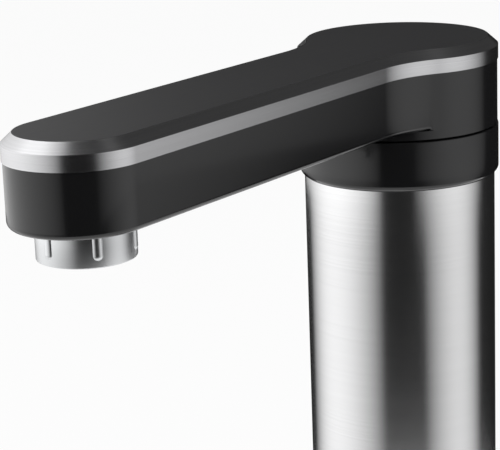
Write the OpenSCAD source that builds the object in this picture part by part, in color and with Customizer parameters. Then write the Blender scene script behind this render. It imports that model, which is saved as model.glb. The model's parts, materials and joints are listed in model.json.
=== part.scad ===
/* [Column] */
// Outer diameter of the steel column
column_d = 60; // [56:1:70]
// Wall of the steel column
sleeve_wall = 1; // [0.8:0.1:1.4]
// Height of the steel column's top edge above the deck
column_top = 205; // [200:1:240]
// How far the black base, collar and head stand out past the steel
step_out = 1.3; // [0.8:0.1:2]
// Height of the rounded rim where black meets steel
rim_h = 1.8; // [1.4:0.1:2]

/* [Deck fixing] */
// Thickness of the rubber gasket under the base
gasket_t = 2; // [1.5:0.5:4]
// Thickness of the sink deck that the tap clamps
deck_t = 12; // [6:1:20]
// Thread diameter of the mounting shank
shank_d = 32; // [31:0.5:33]
// Wall of the mounting shank
shank_wall = 3; // [2.5:0.25:3.5]
// Length of the shank below the deck
shank_l = 50; // [48:1:60]
// Pitch of the shank's thread
shank_pitch = 1.5; // [1.2:0.1:2]
// Diameter of the shank's flange inside the base
flange_d = 48; // [46:1:50]
// Thickness of the shank's flange
flange_t = 3; // [2.5:0.5:4]
// Thickness of the soft seal under the deck
seal_t = 2.5; // [1.5:0.5:4]
// Thickness of the steel washer under the deck
washer_t = 1.5; // [1:0.5:2.5]
// Diameter of the seal and washer under the deck
washer_d = 50; // [48:1:54]
// Width across the flats of the fixing nut
nut_af = 41; // [40:1:44]
// Height of the fixing nut
nut_h = 12; // [8:1:14]

/* [Base] */
// Height of the black base, up to the steel column's lower edge
base_top = 68; // [66:1:74]
// Wall of the black base and collar
body_wall = 2.4; // [2:0.1:2.8]
// Thickness of the steel base plate
plate_t = 4; // [3:0.5:5]
// Height of the spigots that hold the steel column at both ends
spigot_h = 8; // [6:1:12]
// Wall of the spigots
spigot_wall = 2; // [1.6:0.1:2.2]

/* [Display] */
// Width of the display window
window_w = 26; // [22:1:28]
// Height of the display window
window_h = 14; // [12:1:16]
// Thickness of the display board
board_t = 1.6; // [1:0.2:2]

/* [Inlet] */
// Distance of the water inlet from the column's axis
inlet_x = 4.5; // [4:0.25:5]
// Diameter of the inlet pipe
inlet_d = 10; // [9:0.5:10]
// Wall of the inlet pipe
inlet_wall = 1.2; // [1:0.1:1.5]
// Thread diameter of the inlet nipple
nipple_d = 16.662; // [15:0.001:17]
// Length of the nipple's thread
nipple_l = 12; // [9:1:16]
// Diameter of the supply cable that the gland takes
cable_d = 7.5; // [6:0.5:8]

/* [Valve and lever] */
// Height of the valve's and lever's axis above the deck
valve_z = 40; // [38:1:42]
// Outer diameter of the valve body
valve_d = 22; // [21:0.5:23]
// Wall of the valve body round the cartridge
valve_wall = 2; // [1.5:0.25:2.5]
// Distance of the boss's end from the column's axis
boss_x = 34; // [33:0.5:37]
// Outer diameter of the boss that carries the lever
boss_d = 30; // [28:1:32]
// Diameter of the spindle that the lever turns
spindle_d = 9; // [8:0.5:10]
// Diameter of the lever's hub
lever_hub_d = 28; // [26:1:30]
// Length of the lever's hub along its axis
lever_hub_l = 11; // [9:1:14]
// Reach of the lever's blade from its axis
lever_reach = 52; // [45:1:60]
// Width of the lever's blade at its tip
lever_tip_w = 9; // [8:1:12]
// Thickness of the lever's blade
lever_t = 5; // [4:0.5:6]

/* [Flow switch] */
// Distance of the flow switch from the column's axis
flow_x = 11; // [10.5:0.25:11.5]
// Outer diameter of the flow switch
flow_d = 16; // [15:0.5:16]
// Bore of the flow switch
flow_bore_d = 11; // [10:0.5:11.5]

/* [Heater] */
// Outer diameter of the heater tank
tank_d = 36; // [34:0.5:36.5]
// Wall of the heater tank
tank_wall = 1.5; // [1.2:0.1:2]
// Distance from the tank's top up to the steel column's top edge
tank_gap = 27; // [25:1:37]
// Thickness of the flange that carries the heating elements
element_flange_t = 4; // [3.5:0.5:5]
// Diameter of the heating elements
element_d = 6.4; // [5:0.2:6.6]
// Distance between the two legs of a heating element
element_pitch = 12; // [10:0.5:12.5]
// Diameter of the three tie rods
rod_d = 4; // [3:0.5:4.2]
// Distance of the tie rods from the column's axis
rod_r = 22.5; // [22.2:0.1:22.7]

/* [Swivel] */
// Height of the collar, from the steel's edge to the seam
collar_h = 15.1; // [14:0.1:20]
// Height of the open seam between the collar and the head
seam_h = 0.4; // [0.2:0.05:1]
// Thickness of the collar's web
web_t = 6.1; // [5.5:0.1:7]
// Diameter of the swivel stem
stem_d = 16.8; // [16:0.2:18]
// Bore of the swivel stem
stem_bore_d = 9; // [8:0.5:9.5]
// Largest swing of the spout to each side
swing = 90; // [30:1:120]

/* [Spout] */
// Distance from the column's axis to the centre of the arm's round tip
tip_y = 154.7; // [120:1:200]
// Width of the arm
arm_w = 37.92; // [36:0.5:42]
// Radius of the blend between the arm and the head, seen from above
neck_r = 35; // [20:1:45]
// Height of the arm's underside above the seam
arm_lift = 3.2; // [2.5:0.1:4.5]
// Radius of the arm's lower edge
arm_edge_r = 1.9; // [1:0.1:2.4]
// Height of the black shell, from the seam to the metal band
shell_h = 20.5; // [19:0.1:26]
// Height of the metal band's upright face
band_h = 4.3; // [3:0.1:6]
// Height of the bevel above the band's upright face
bevel_h = 2.7; // [2.2:0.1:3.5]
// Width of the bevel, seen from above
bevel_w = 3.03; // [2.5:0.1:4]
// How far the black shell lies inside the band's face
shell_inset = 0.3; // [0.1:0.05:0.5]
// Wall of the spout shell
shell_wall = 2.4; // [2:0.1:2.8]
// Thickness of the top panel
panel_t = 2; // [1.5:0.1:2.2]
// Outer diameter of the waterway tube in the arm
water_d = 8; // [7:0.5:9]
// Wall of the waterway tube
water_wall = 1; // [0.8:0.1:1.4]

/* [Outlet] */
// Distance from the column's axis to the outlet
outlet_y = 153.2; // [116:1:196]
// Diameter of the aerator's shell between its ribs
aerator_d = 25.92; // [25.5:0.1:27]
// How far the aerator reaches below the arm
aerator_drop = 8.9; // [8:0.1:14]
// Number of ribs round the aerator
rib_count = 6; // [4:1:12]
// Height of a rib above the aerator's wall
rib_out = 0.55; // [0.3:0.05:0.8]
// Half the width of a rib at the wall
rib_half_w = 1.25; // [0.9:0.05:1.6]
// Thread diameter of the outlet socket
socket_d = 22; // [21.5:0.1:22.4]

/* [Fit] */
// Gap between pieces that are fixed together
fit = 0.1; // [0.05:0.05:0.15]
// Gap between pieces that turn or slide in one another
run = 0.05; // [0.02:0.01:0.08]
// Gap between pieces of two moving groups that must not touch
free = 0.4; // [0.3:0.05:0.6]

/* [Hidden] */
$fn = 96;
over = 0.5;
column_r = column_d / 2;
body_r = column_r + step_out;
inner_r = body_r - body_wall;
shank_r = shank_d / 2;
shank_in = shank_r - shank_wall;
rod_turns = [60, 180, 300];
sleeve_in = column_r - sleeve_wall;
spigot_r = sleeve_in - 2 * fit;
spigot_in = spigot_r - spigot_wall;
flange_top = gasket_t + flange_t;
plate_top = flange_top + plate_t;
washer_bottom = -deck_t - seal_t - washer_t;
nut_bottom = washer_bottom - nut_h;
thread_depth = 0.4;
groove_w = 0.4;
m3_r = 1.5;
m3_head_r = 2.75;
m3_head_h = 2;
m4_af = 7;
m4_nut_h = 3.2;
land = 1;

module ring(r_out, r_in, h) {
    difference() {
        cylinder(h = h, r = r_out);
        translate([0, 0, -over]) cylinder(h = h + 2 * over, r = r_in);
    }
}

module up(z) {
    translate([0, 0, z]) children();
}

module along_x(x, z) {
    translate([x, 0, z]) rotate([0, 90, 0]) children();
}

module hex(af, h) {
    cylinder(h = h, r = af / 2 / cos(30), $fn = 6);
}

module torus(centre_r, wire_r) {
    rotate_extrude() translate([centre_r, 0]) circle(wire_r, $fn = 32);
}

module socket_screw(length) {
    difference() {
        union() {
            translate([0, 0, -length]) cylinder(h = length, r = m3_r, $fn = 32);
            cylinder(h = m3_head_h, r = m3_head_r, $fn = 32);
        }
        translate([0, 0, m3_head_h / 2]) hex(m3_r * 2, m3_head_h);
    }
}

module around(count, radius, start = 0) {
    for (i = [0 : count - 1]) rotate([0, 0, start + i * 360 / count]) translate([radius, 0, 0]) children();
}

module at_rods() {
    for (a = rod_turns) rotate([0, 0, a]) translate([rod_r, 0, 0]) children();
}

// Deck fixing
module deck_gasket() color("#1c1c1d") ring(body_r - step_out, shank_r + fit * 5, gasket_t);

module mounting_shank() color("#c9a85c") difference() {
    union() {
        up(nut_bottom - fit * 3) cylinder(h = gasket_t - nut_bottom + fit * 3, r = shank_r - thread_depth);
        up(-shank_l) cylinder(h = shank_l + nut_bottom - fit * 3, r = shank_r);
        up(gasket_t) cylinder(h = flange_t, r = flange_d / 2);
    }
    up(-shank_l - over) cylinder(h = shank_l + flange_top + 2 * over, r = shank_in);
    for (z = [-shank_l + shank_pitch : shank_pitch : nut_bottom - shank_pitch])
        up(z) ring(shank_r + over, shank_r - thread_depth, groove_w);
    at_screws() up(gasket_t - over) cylinder(h = flange_t + 2 * over, r = m3_r + fit / 2, $fn = 32);
}

screw_r = 18.5;
module at_screws() around(3, screw_r) children();

module deck_seal() color("#232323") up(-deck_t - seal_t) ring(washer_d / 2, shank_r + fit, seal_t);

module deck_washer() color("#b9bcc0") up(washer_bottom) ring(washer_d / 2, shank_r + fit, washer_t);

module fixing_nut() color("#c9a85c") up(nut_bottom) difference() {
    hex(nut_af, nut_h);
    up(-over) cylinder(h = nut_h + 2 * over, r = shank_r - thread_depth + fit);
}

plug_h = 6;
plug_fit = 0.1;
nipple_r = nipple_d / 2;
gland_wall = 1.2;
gland_x = -(shank_in - plug_fit - cable_d / 2 - gland_wall);
gland_len = 16;
gland_lip = 1;
inlet_r = inlet_d / 2;

module shank_plug() color("#2b2b2c") up(-shank_l) difference() {
    cylinder(h = plug_h, r = shank_in - plug_fit);
    translate([inlet_x, 0, -over]) cylinder(h = plug_h + 2 * over, r = inlet_r + fit);
    translate([gland_x, 0, -over]) cylinder(h = plug_h + 2 * over, r = cable_d / 2 + gland_wall / 2 + fit);
}

module cable_gland() color("#151515") translate([gland_x, 0, -shank_l - gland_lip * 2]) difference() {
    union() {
        cylinder(h = gland_len, r = cable_d / 2 + gland_wall / 2);
        cylinder(h = gland_lip * 2 - fit, r = cable_d / 2 + gland_wall);
    }
    up(-over) cylinder(h = gland_len + 2 * over, r = cable_d / 2);
}

module shank_screws() color("#9a9da1") at_screws() up(plate_top) socket_screw(plate_t + flange_t - fit);

// Base
base_screw_turns = [70, 110];
base_screw_l = 8;
base_screw_z = flange_top + plate_t / 2;
module at_base_screws() for (a = base_screw_turns) rotate([0, 0, a]) up(base_screw_z) rotate([0, 90, 0]) children();

module base_plate() color("#a9adb2") difference() {
    up(flange_top) cylinder(h = plate_t, r = inner_r - fit);
    up(flange_top - over) cylinder(h = plate_t + 2 * over, r = shank_in);
    at_rods() up(flange_top - over) cylinder(h = plate_t + 2 * over, r = rod_d / 2 + fit / 2);
    at_screws() up(flange_top - over) cylinder(h = plate_t + 2 * over, r = m3_r + fit);
    at_base_screws() up(body_r - base_screw_l) cylinder(h = base_screw_l, r = m3_r / 2 + fit, $fn = 32);
}

// A tube whose rim rounds in to the steel column's radius at its top
module rimmed_tube(h) {
    rim_r = (step_out * step_out + rim_h * rim_h) / (2 * step_out);
    difference() {
        rotate_extrude() intersection() {
            square([body_r, h]);
            union() {
                square([body_r, h - rim_h]);
                square([body_r - rim_r, h]);
                translate([body_r - rim_r, h - rim_h]) circle(rim_r);
            }
        }
        up(-over) cylinder(h = h + 2 * over, r = spigot_in);
    }
}

window_z = valve_z;
window_edge = 1;
boss_bore_r = valve_d / 2 + fit;
board_w = window_w + 2 * window_edge * 2;
board_h = window_h + 6 * window_edge;
board_y = -24.2;

module base_body() color("#1b1b1c") difference() {
    union() {
        up(gasket_t) rimmed_tube(base_top - gasket_t);
        up(base_top - over) ring(spigot_r, spigot_in, spigot_h + over);
        along_x(0, valve_z) cylinder(h = boss_x, d = boss_d);
    }
    up(gasket_t - over) cylinder(h = base_top - gasket_t - spigot_h / 2 + over, r = inner_r);
    along_x(0, valve_z) cylinder(h = boss_x + over, r = boss_bore_r);
    translate([-window_w / 2, -body_r - over, window_z - window_h / 2]) cube([window_w, body_r / 2, window_h]);
    at_base_screws() up(inner_r - over) cylinder(h = body_wall + 2 * over, r = m3_r / 2 + fit, $fn = 32);
}

module base_screws() color("#8d9094") at_base_screws() up(body_r) difference() {
    union() {
        up(-base_screw_l + fit) cylinder(h = base_screw_l, r = m3_r / 2, $fn = 32);
        cylinder(h = m3_r, r1 = m3_r * 2, r2 = m3_r, $fn = 32);
    }
    up(m3_r / 2) hex(m3_r, m3_r);
}

module display_window() color("#0a0a0c") intersection() {
    up(window_z - window_h / 2 + fit) ring(body_r - fit, inner_r + fit, window_h - 2 * fit);
    translate([-window_w / 2 + fit, -body_r - over, 0]) cube([window_w - 2 * fit, body_r / 2, base_top]);
}

digit_w = 5;
digit_h = 8;
digit_stroke = 1.1;
digit_pitch = 8;
digit_case_t = 2;
digit_proud = 0.2;
module seven_segments() {
    half = digit_h / 2;
    for (z = [-half, 0, half]) translate([-digit_w / 2 + digit_stroke, -digit_proud, z - digit_stroke / 2])
        cube([digit_w - 2 * digit_stroke, digit_proud + fit, digit_stroke]);
    for (x = [-1, 1], z = [-half, 0]) translate([x * digit_w / 2 - digit_stroke / 2, -digit_proud, z + digit_stroke])
        cube([digit_stroke, digit_proud + fit, half - 2 * digit_stroke]);
}

module display_digits() color("#3a1512") translate([0, board_y - digit_case_t, window_z]) {
    translate([-window_w / 2 + window_edge * 2, 0, -window_h / 2 + window_edge])
        cube([window_w - 4 * window_edge, digit_case_t, window_h - 2 * window_edge]);
    for (x = [-digit_pitch / 2, digit_pitch / 2]) translate([x, 0, 0]) seven_segments();
}

chip = 5;
chip_t = 1;
module display_board() color("#1d5a34") translate([-board_w / 2, board_y, window_z - board_h / 2]) {
    cube([board_w, board_t, board_h]);
    translate([board_w / 2 - chip / 2, board_t - fit, board_h / 2 - chip / 2]) cube([chip, chip_t + fit, chip]);
}

block_w = 13;
block_t = 9;
block_h = 11;
block_x = 0.4;
block_y = -23.5;
block_poles = 3;
module terminal_block() color("#dedcd3") translate([block_x - block_w / 2, block_y, plate_top]) difference() {
    cube([block_w, block_t, block_h]);
    for (i = [0 : block_poles - 1]) translate([(i + 0.5) * block_w / block_poles, block_t / 2, block_h / 2])
        cylinder(h = block_h, r = m3_r, $fn = 24);
}

// Water inlet
port_r = 3.5;
seat_z = valve_z - valve_d / 2;
pipe_seat_h = 2;
pipe_top = seat_z + pipe_seat_h;
boss_wall = 2;
nipple_hex_h = 3.5;
nipple_hex_af = 17;
nipple_top = -shank_l - gland_lip * 2 - fit;
nipple_bottom = nipple_top - nipple_hex_h - nipple_l;
pipe_seat = nipple_bottom + nipple_l;
filter_in = 3;
filter_r = nipple_r - filter_in;
filter_h = 5;

module inlet_pipe() color("#c8ccd0") translate([inlet_x, 0, pipe_seat])
    ring(inlet_r, inlet_r - inlet_wall, pipe_top - pipe_seat);

module inlet_nipple() color("#c9a85c") translate([inlet_x, 0, nipple_bottom]) difference() {
    union() {
        cylinder(h = nipple_l, r = nipple_r);
        up(nipple_l) rotate([0, 0, 30]) hex(nipple_hex_af, nipple_hex_h);
    }
    up(-over) cylinder(h = nipple_l + nipple_hex_h, r = inlet_r - inlet_wall);
    up(nipple_l) cylinder(h = nipple_hex_h + over, r = inlet_r + run);
    up(-over) cylinder(h = filter_h + over, r = filter_r + fit);
    for (z = [shank_pitch : shank_pitch : nipple_l - shank_pitch])
        up(z) ring(nipple_r + over, nipple_r - thread_depth, groove_w);
}

module inlet_filter() color("#8b8e90") translate([inlet_x, 0, nipple_bottom]) difference() {
    cylinder(h = filter_h, r = filter_r);
    up(-over) cylinder(h = filter_h - inlet_wall + over, r = filter_r - inlet_wall);
    around(6, filter_r / 2) cylinder(h = filter_h + over, r = inlet_wall / 2, $fn = 16);
}

// Valve
valve_in = -2;
floor_x = 8;
disc_t = 3;
mouth_in = 4;
mouth_x = boss_x - mouth_in;
chamber_r = valve_d / 2 - valve_wall;
lift = chamber_r / 2;
hole_r = 2;
spindle_r = spindle_d / 2;
moving_x = floor_x + disc_t + run;
head_x = moving_x + disc_t;
head_t = 3.5;
nut_x = mouth_x - disc_t;
nut_end = boss_x - land;
bezel_t = 1.2;
hub_x = boss_x + bezel_t + free;
hub_end = hub_x + lever_hub_l;
cap_t = 1.6;
cap_border = 4;
cap_r = lever_hub_d / 2 - cap_border;
screw_seat = hub_end - cap_t - m3_head_h - fit;

module valve_body() color("#c4a35a") difference() {
    union() {
        along_x(valve_in, valve_z) cylinder(h = mouth_x - valve_in, d = valve_d);
        translate([inlet_x, 0, seat_z - boss_wall]) cylinder(h = valve_d / 2, r = inlet_r + boss_wall);
        along_x(-flow_x + flow_bore_d / 2, valve_z) cylinder(h = flow_x, r = port_r + fit);
    }
    along_x(floor_x, valve_z) cylinder(h = mouth_x, r = chamber_r);
    translate([inlet_x, 0, seat_z - boss_wall - over]) cylinder(h = pipe_top - seat_z + boss_wall + over, r = inlet_r + run);
    translate([inlet_x, 0, seat_z]) cylinder(h = valve_d / 2 - lift, r = port_r - land, $fn = 32);
    along_x(inlet_x, valve_z - lift) cylinder(h = floor_x, r = hole_r, $fn = 32);
    along_x(-over, valve_z + lift) cylinder(h = floor_x + 2 * over, r = hole_r, $fn = 32);
    translate([0, 0, valve_z]) cylinder(h = lift, r = hole_r, $fn = 32);
    along_x(-flow_x, valve_z) cylinder(h = flow_x, r = hole_r, $fn = 32);
}

module fixed_disc() color("#f2efe6") along_x(floor_x, valve_z) difference() {
    cylinder(h = disc_t, r = chamber_r - fit);
    for (s = [-1, 1]) translate([s * lift, 0, -over]) cylinder(h = disc_t + 2 * over, r = hole_r, $fn = 32);
}

module moving_disc() color("#e8e4d8") along_x(moving_x, valve_z) difference() {
    cylinder(h = disc_t, r = chamber_r - 4 * fit);
    for (s = [-1, 1]) translate([s * lift, 0, -over]) cylinder(h = disc_t / 2 + over, r = hole_r, $fn = 32);
}

module cartridge_housing() color("#e7e8ea") along_x(head_x + free, valve_z) difference() {
    cylinder(h = nut_x - head_x - free, r = chamber_r - fit);
    up(-over) cylinder(h = head_t + over, r = chamber_r - boss_wall / 2 - fit);
    up(-over) cylinder(h = nut_x, r = spindle_r + run);
}

module cartridge_spindle() color("#cfa95a") difference() {
    union() {
        along_x(head_x, valve_z) cylinder(h = head_t, r = chamber_r - boss_wall);
        along_x(head_x, valve_z) cylinder(h = screw_seat - head_x - 2 * fit, r = spindle_r);
    }
    along_x(hub_x, valve_z) cylinder(h = lever_hub_l, r = m3_r + fit / 2, $fn = 32);
}

module cartridge_nut() color("#c9a85c") along_x(nut_x, valve_z) difference() {
    union() {
        cylinder(h = mouth_x - nut_x, r = chamber_r - fit);
        up(mouth_x - nut_x) cylinder(h = nut_end - mouth_x, r = chamber_r + valve_wall / 2);
    }
    up(-over) cylinder(h = boss_x, r = spindle_r + free);
}

module valve_bezel() color("#c3c5c8") along_x(boss_x, valve_z) ring(boss_d / 2 - fit, spindle_r + 2 * free, bezel_t);

module lever() color("#202021") difference() {
    union() {
        along_x(hub_x, valve_z) cylinder(h = lever_hub_l, d = lever_hub_d);
        translate([hub_end - lever_t, 0, valve_z]) rotate([90, 0, 90]) linear_extrude(lever_t) {
            polygon([
                [0, -lever_hub_d / 3], [-lever_reach, -lever_tip_w / 2],
                [-lever_reach, lever_tip_w / 2], [0, lever_hub_d / 3]
            ]);
            translate([-lever_reach, 0]) circle(d = lever_tip_w);
        }
    }
    along_x(hub_x - over, valve_z) cylinder(h = screw_seat - hub_x + over - 2 * fit, r = spindle_r + run);
    along_x(hub_x, valve_z) cylinder(h = lever_hub_l, r = m3_r + fit, $fn = 32);
    along_x(screw_seat, valve_z) cylinder(h = lever_hub_l, r = m3_head_r + fit);
    along_x(hub_end - cap_t, valve_z) cylinder(h = lever_hub_l, r = cap_r + fit);
}

lever_screw_l = 6;
module lever_screw() color("#9a9da1") along_x(screw_seat, valve_z) socket_screw(lever_screw_l);

module lever_cap() color("#b9bcc0") along_x(hub_end - cap_t, valve_z) cylinder(h = cap_t, r = cap_r);

// Flow switch
flow_r = flow_d / 2;
flow_bore_r = flow_bore_d / 2;
flow_floor = 3;
flow_bottom = valve_z - port_r - flow_floor;
piston_z = valve_z + port_r + land;
piston_h = 7;
flow_gap = 8;
flow_top = base_top - flow_gap;
flow_cap_t = 2;
spring_seat = flow_top - flow_cap_t;
element_bottom = base_top;
tank_top = column_top - tank_gap;

module flow_switch_body() color("#3a3a3d") translate([-flow_x, 0, flow_bottom]) difference() {
    cylinder(h = flow_top - flow_bottom, r = flow_r);
    up(flow_floor) cylinder(h = flow_top, r = flow_bore_r - land);
    up(piston_z - flow_bottom) cylinder(h = flow_top, r = flow_bore_r);
    up(valve_z - flow_bottom) rotate([0, 90, 0]) cylinder(h = flow_r + over, r = port_r + 2 * fit);
}

magnet_h = 3;
magnet_r = 3;
spring_wire = 0.8;
module flow_piston() color("#e9e6dc") translate([-flow_x, 0, piston_z + run]) difference() {
    cylinder(h = piston_h, r = flow_bore_r - run);
    up(piston_h - magnet_h) cylinder(h = magnet_h + over, r = magnet_r + fit);
}

module piston_magnet() color("#55585c") translate([-flow_x, 0, piston_z + piston_h - magnet_h + run])
    cylinder(h = magnet_h, r = magnet_r);

module flow_spring() color("#a8abb0") translate([-flow_x, 0, piston_z + piston_h + run]) difference() {
    cylinder(h = spring_seat - piston_z - piston_h - 2 * run, r = flow_bore_r - 2 * fit);
    up(-over) cylinder(h = flow_top, r = flow_bore_r - 2 * fit - spring_wire);
}

module flow_switch_cap() color("#46464a") translate([-flow_x, 0, spring_seat]) difference() {
    union() {
        cylinder(h = flow_cap_t, r = flow_bore_r - fit);
        up(flow_cap_t) cylinder(h = flow_cap_t, r = flow_r);
        up(flow_cap_t) cylinder(h = element_bottom + flow_cap_t - flow_top, r = port_r + fit);
    }
    up(-over) cylinder(h = base_top, r = hole_r);
}

reed_w = 5;
reed_t = 2.5;
reed_h = 12;
module reed_switch() color("#d8dadc") difference() {
    translate([-flow_x - reed_w / 2, flow_r - reed_t / 2, piston_z]) cube([reed_w, reed_t, reed_h]);
    translate([-flow_x, 0, piston_z - over]) cylinder(h = reed_h + 2 * over, r = flow_r + fit);
}

// Heater
flange_out = spigot_in - 3 * fit;
element_top = element_bottom + element_flange_t;
foot_t = 2.5;
leg_x = 2;
leg_y = 7.5;
leg_foot = 4;
leg_bottom = element_bottom - leg_foot;
element_r = element_d / 2;
leg_head = 24;
leg_top = tank_top - leg_head;
terminal_l = 5;
terminal_r = 1.3;
oring_r = 0.9;
oring_centre = tank_d / 2;
neck_out = 6;
neck_in = 4;
neck_h = 10;
probe_y = -11;
probe_gap = 2;
probe_l = tank_top - leg_top - element_pitch / 2 - element_r - probe_gap;
cutout_r = 5;
cutout_y = 11.5;
cutout_h = 3.5;
cutout_pin_h = 1.5;

module at_legs() for (x = [-1, 1], y = [-leg_y, leg_y]) translate([leg_x + x * element_pitch / 2, y, 0]) children();

module element_flange() color("#b4b8bc") difference() {
    up(element_bottom) cylinder(h = element_flange_t, r = flange_out);
    at_rods() up(element_bottom - over) cylinder(h = element_flange_t + 2 * over, r = rod_d / 2 + fit / 2);
    at_legs() up(element_bottom - over) cylinder(h = element_flange_t + 2 * over, r = element_r + fit);
    translate([-flow_x, 0, element_bottom - over]) cylinder(h = flow_cap_t + over, r = port_r + 2 * fit);
    translate([-flow_x, 0, element_bottom - over]) cylinder(h = element_flange_t + 2 * over, r = hole_r);
    up(element_top - 2 * oring_r) ring(oring_centre + oring_r + fit, oring_centre - oring_r - fit, 2 * oring_r + over);
}

module heating_elements() color("#8f9499") {
    at_legs() up(leg_bottom) cylinder(h = leg_top - leg_bottom, r = element_r);
    for (y = [-leg_y, leg_y]) translate([leg_x, y, leg_top]) difference() {
        rotate([90, 0, 0]) rotate_extrude() translate([element_pitch / 2, 0]) circle(element_r, $fn = 48);
        translate([-element_pitch, -element_pitch, -2 * element_pitch]) cube(2 * element_pitch);
    }
}

module element_terminals() color("#c9a85c") at_legs() up(leg_bottom - terminal_l) cylinder(h = terminal_l, r = terminal_r);

module tank_o_ring() color("#222222") up(element_top - oring_r) torus(oring_centre, oring_r);

module heater_tank() color("#c8ccd0") difference() {
    union() {
        up(element_top) cylinder(h = foot_t, r = flange_out);
        up(element_top) cylinder(h = tank_top - element_top, r = tank_d / 2);
        up(tank_top - over) cylinder(h = neck_h + over, r = neck_out);
    }
    up(element_top - over) cylinder(h = tank_top - tank_wall - element_top + over, r = tank_d / 2 - tank_wall);
    up(tank_top - foot_t) cylinder(h = neck_h + foot_t + over, r = neck_in);
    at_rods() up(element_top - over) cylinder(h = foot_t + 2 * over, r = rod_d / 2 + fit / 2);
    translate([0, probe_y, tank_top - foot_t]) cylinder(h = foot_t + over, r = hole_r + fit);
}

module thermal_cutout() color("#d9d4c4") translate([0, cutout_y, tank_top]) {
    cylinder(h = cutout_h, r = cutout_r);
    for (x = [-cutout_r / 2, cutout_r / 2]) translate([x, 0, cutout_h - fit]) cylinder(h = cutout_pin_h, r = terminal_r / 2, $fn = 24);
}

module temperature_probe() color("#a8abb0") translate([0, probe_y, tank_top]) {
    up(-probe_l) cylinder(h = probe_l, r = hole_r);
    hex(m4_af, m4_nut_h);
}

// Frame
collar_top = column_top + collar_h;
web_bottom = collar_top - web_t;
rod_engage = 2;
module tie_rods() color("#a8abb0") at_rods() up(flange_top) cylinder(h = web_bottom + rod_engage - flange_top, r = rod_d / 2 - fit / 2);

rod_nut_z = [plate_top, element_bottom - m4_nut_h, element_top + foot_t, web_bottom - m4_nut_h];
module tie_rod_nuts() color("#8d9094") for (z = rod_nut_z) at_rods() up(z) difference() {
    hex(m4_af, m4_nut_h);
    up(-over) cylinder(h = m4_nut_h + 2 * over, r = rod_d / 2);
}

module column_sleeve() color("#b9bbbe") up(base_top) ring(column_r, sleeve_in, column_top - base_top);

// Collar and swivel
stem_r = stem_d / 2;
stem_in = stem_bore_d / 2;
lug_r = 24;
lug_t = 3;
lug_turn = 6;
lug_play = 1.5;
slot_h = 3;
housing_r = 12;
housing_flange_r = 18;
housing_flange_t = 3;
housing_bottom = tank_top + neck_h + land;
clip_t = 1;
clip_rise = 2.6;
clip_bottom = housing_bottom + clip_rise;
clip_r = stem_r + land;
clip_depth = 1;
clip_gap_turn = 20;
shoulder_z = clip_bottom + clip_t + 2 * fit;
stem_bottom = clip_bottom - clip_t;
oring_first = 4;
oring_pitch = 6;
oring_z = [shoulder_z + oring_first, shoulder_z + oring_first + oring_pitch];
stem_oring_r = 0.85;
head_bottom = collar_top + seam_h;
head_floor = collar_top + arm_lift + shell_wall;

// The part of a ring between two turns to each side of the tap's front
module front_sector(r, h, turn) {
    rotate([0, 0, -90 - turn]) rotate_extrude(angle = 2 * turn) square([r, h]);
}

module collar() color("#1b1b1c") difference() {
    union() {
        up(collar_top) mirror([0, 0, 1]) difference() {
            cylinder(h = collar_h - rim_h, r = body_r);
            up(web_t) cylinder(h = collar_h, r = spigot_in);
        }
        up(column_top + rim_h) mirror([0, 0, 1]) rim_ring();
        up(column_top - spigot_h) ring(spigot_r, spigot_in, spigot_h + rim_h);
    }
    up(web_bottom - over) cylinder(h = web_t + 2 * over, r = stem_r + free);
    up(collar_top - slot_h) difference() {
        ring(lug_r + lug_t / 2 + free, lug_r - lug_t / 2 - free, slot_h + over);
        up(-over) rotate([0, 0, 180]) front_sector(body_r, slot_h + 3 * over, 180 - swing - lug_turn - lug_play);
    }
    at_rods() up(web_bottom - over) cylinder(h = rod_engage + 2 * over, r = rod_d / 2);
}

// The rounded rim alone, from its full radius down to the steel's radius
module rim_ring() {
    rim_r = (step_out * step_out + rim_h * rim_h) / (2 * step_out);
    rotate_extrude() intersection() {
        translate([spigot_in, 0]) square([body_r - spigot_in, rim_h]);
        union() {
            square([body_r - rim_r, rim_h]);
            translate([body_r - rim_r, 0]) circle(rim_r);
        }
    }
}

module swivel_housing() color("#c4a35a") difference() {
    union() {
        up(housing_bottom) cylinder(h = web_bottom - housing_bottom, r = housing_r);
        up(web_bottom - housing_flange_t) cylinder(h = housing_flange_t, r = housing_flange_r);
    }
    up(housing_bottom - over) cylinder(h = web_bottom - housing_bottom + 2 * over, r = stem_r + run);
    up(housing_bottom - over) cylinder(h = shoulder_z - housing_bottom + over, r = clip_r + free);
}

cap_floor = 5;
cap_lip = 1.2;
module housing_cap() color("#c4a35a") up(housing_bottom - cap_floor) difference() {
    union() {
        cylinder(h = cap_floor, r = housing_r);
        cylinder(h = cap_floor + cap_lip, r = clip_r + free - fit);
    }
    up(-over) cylinder(h = cap_floor + cap_lip + 2 * over, r = stem_in);
    up(-over) cylinder(h = cap_floor - land + over, r = neck_out + fit);
}

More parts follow.
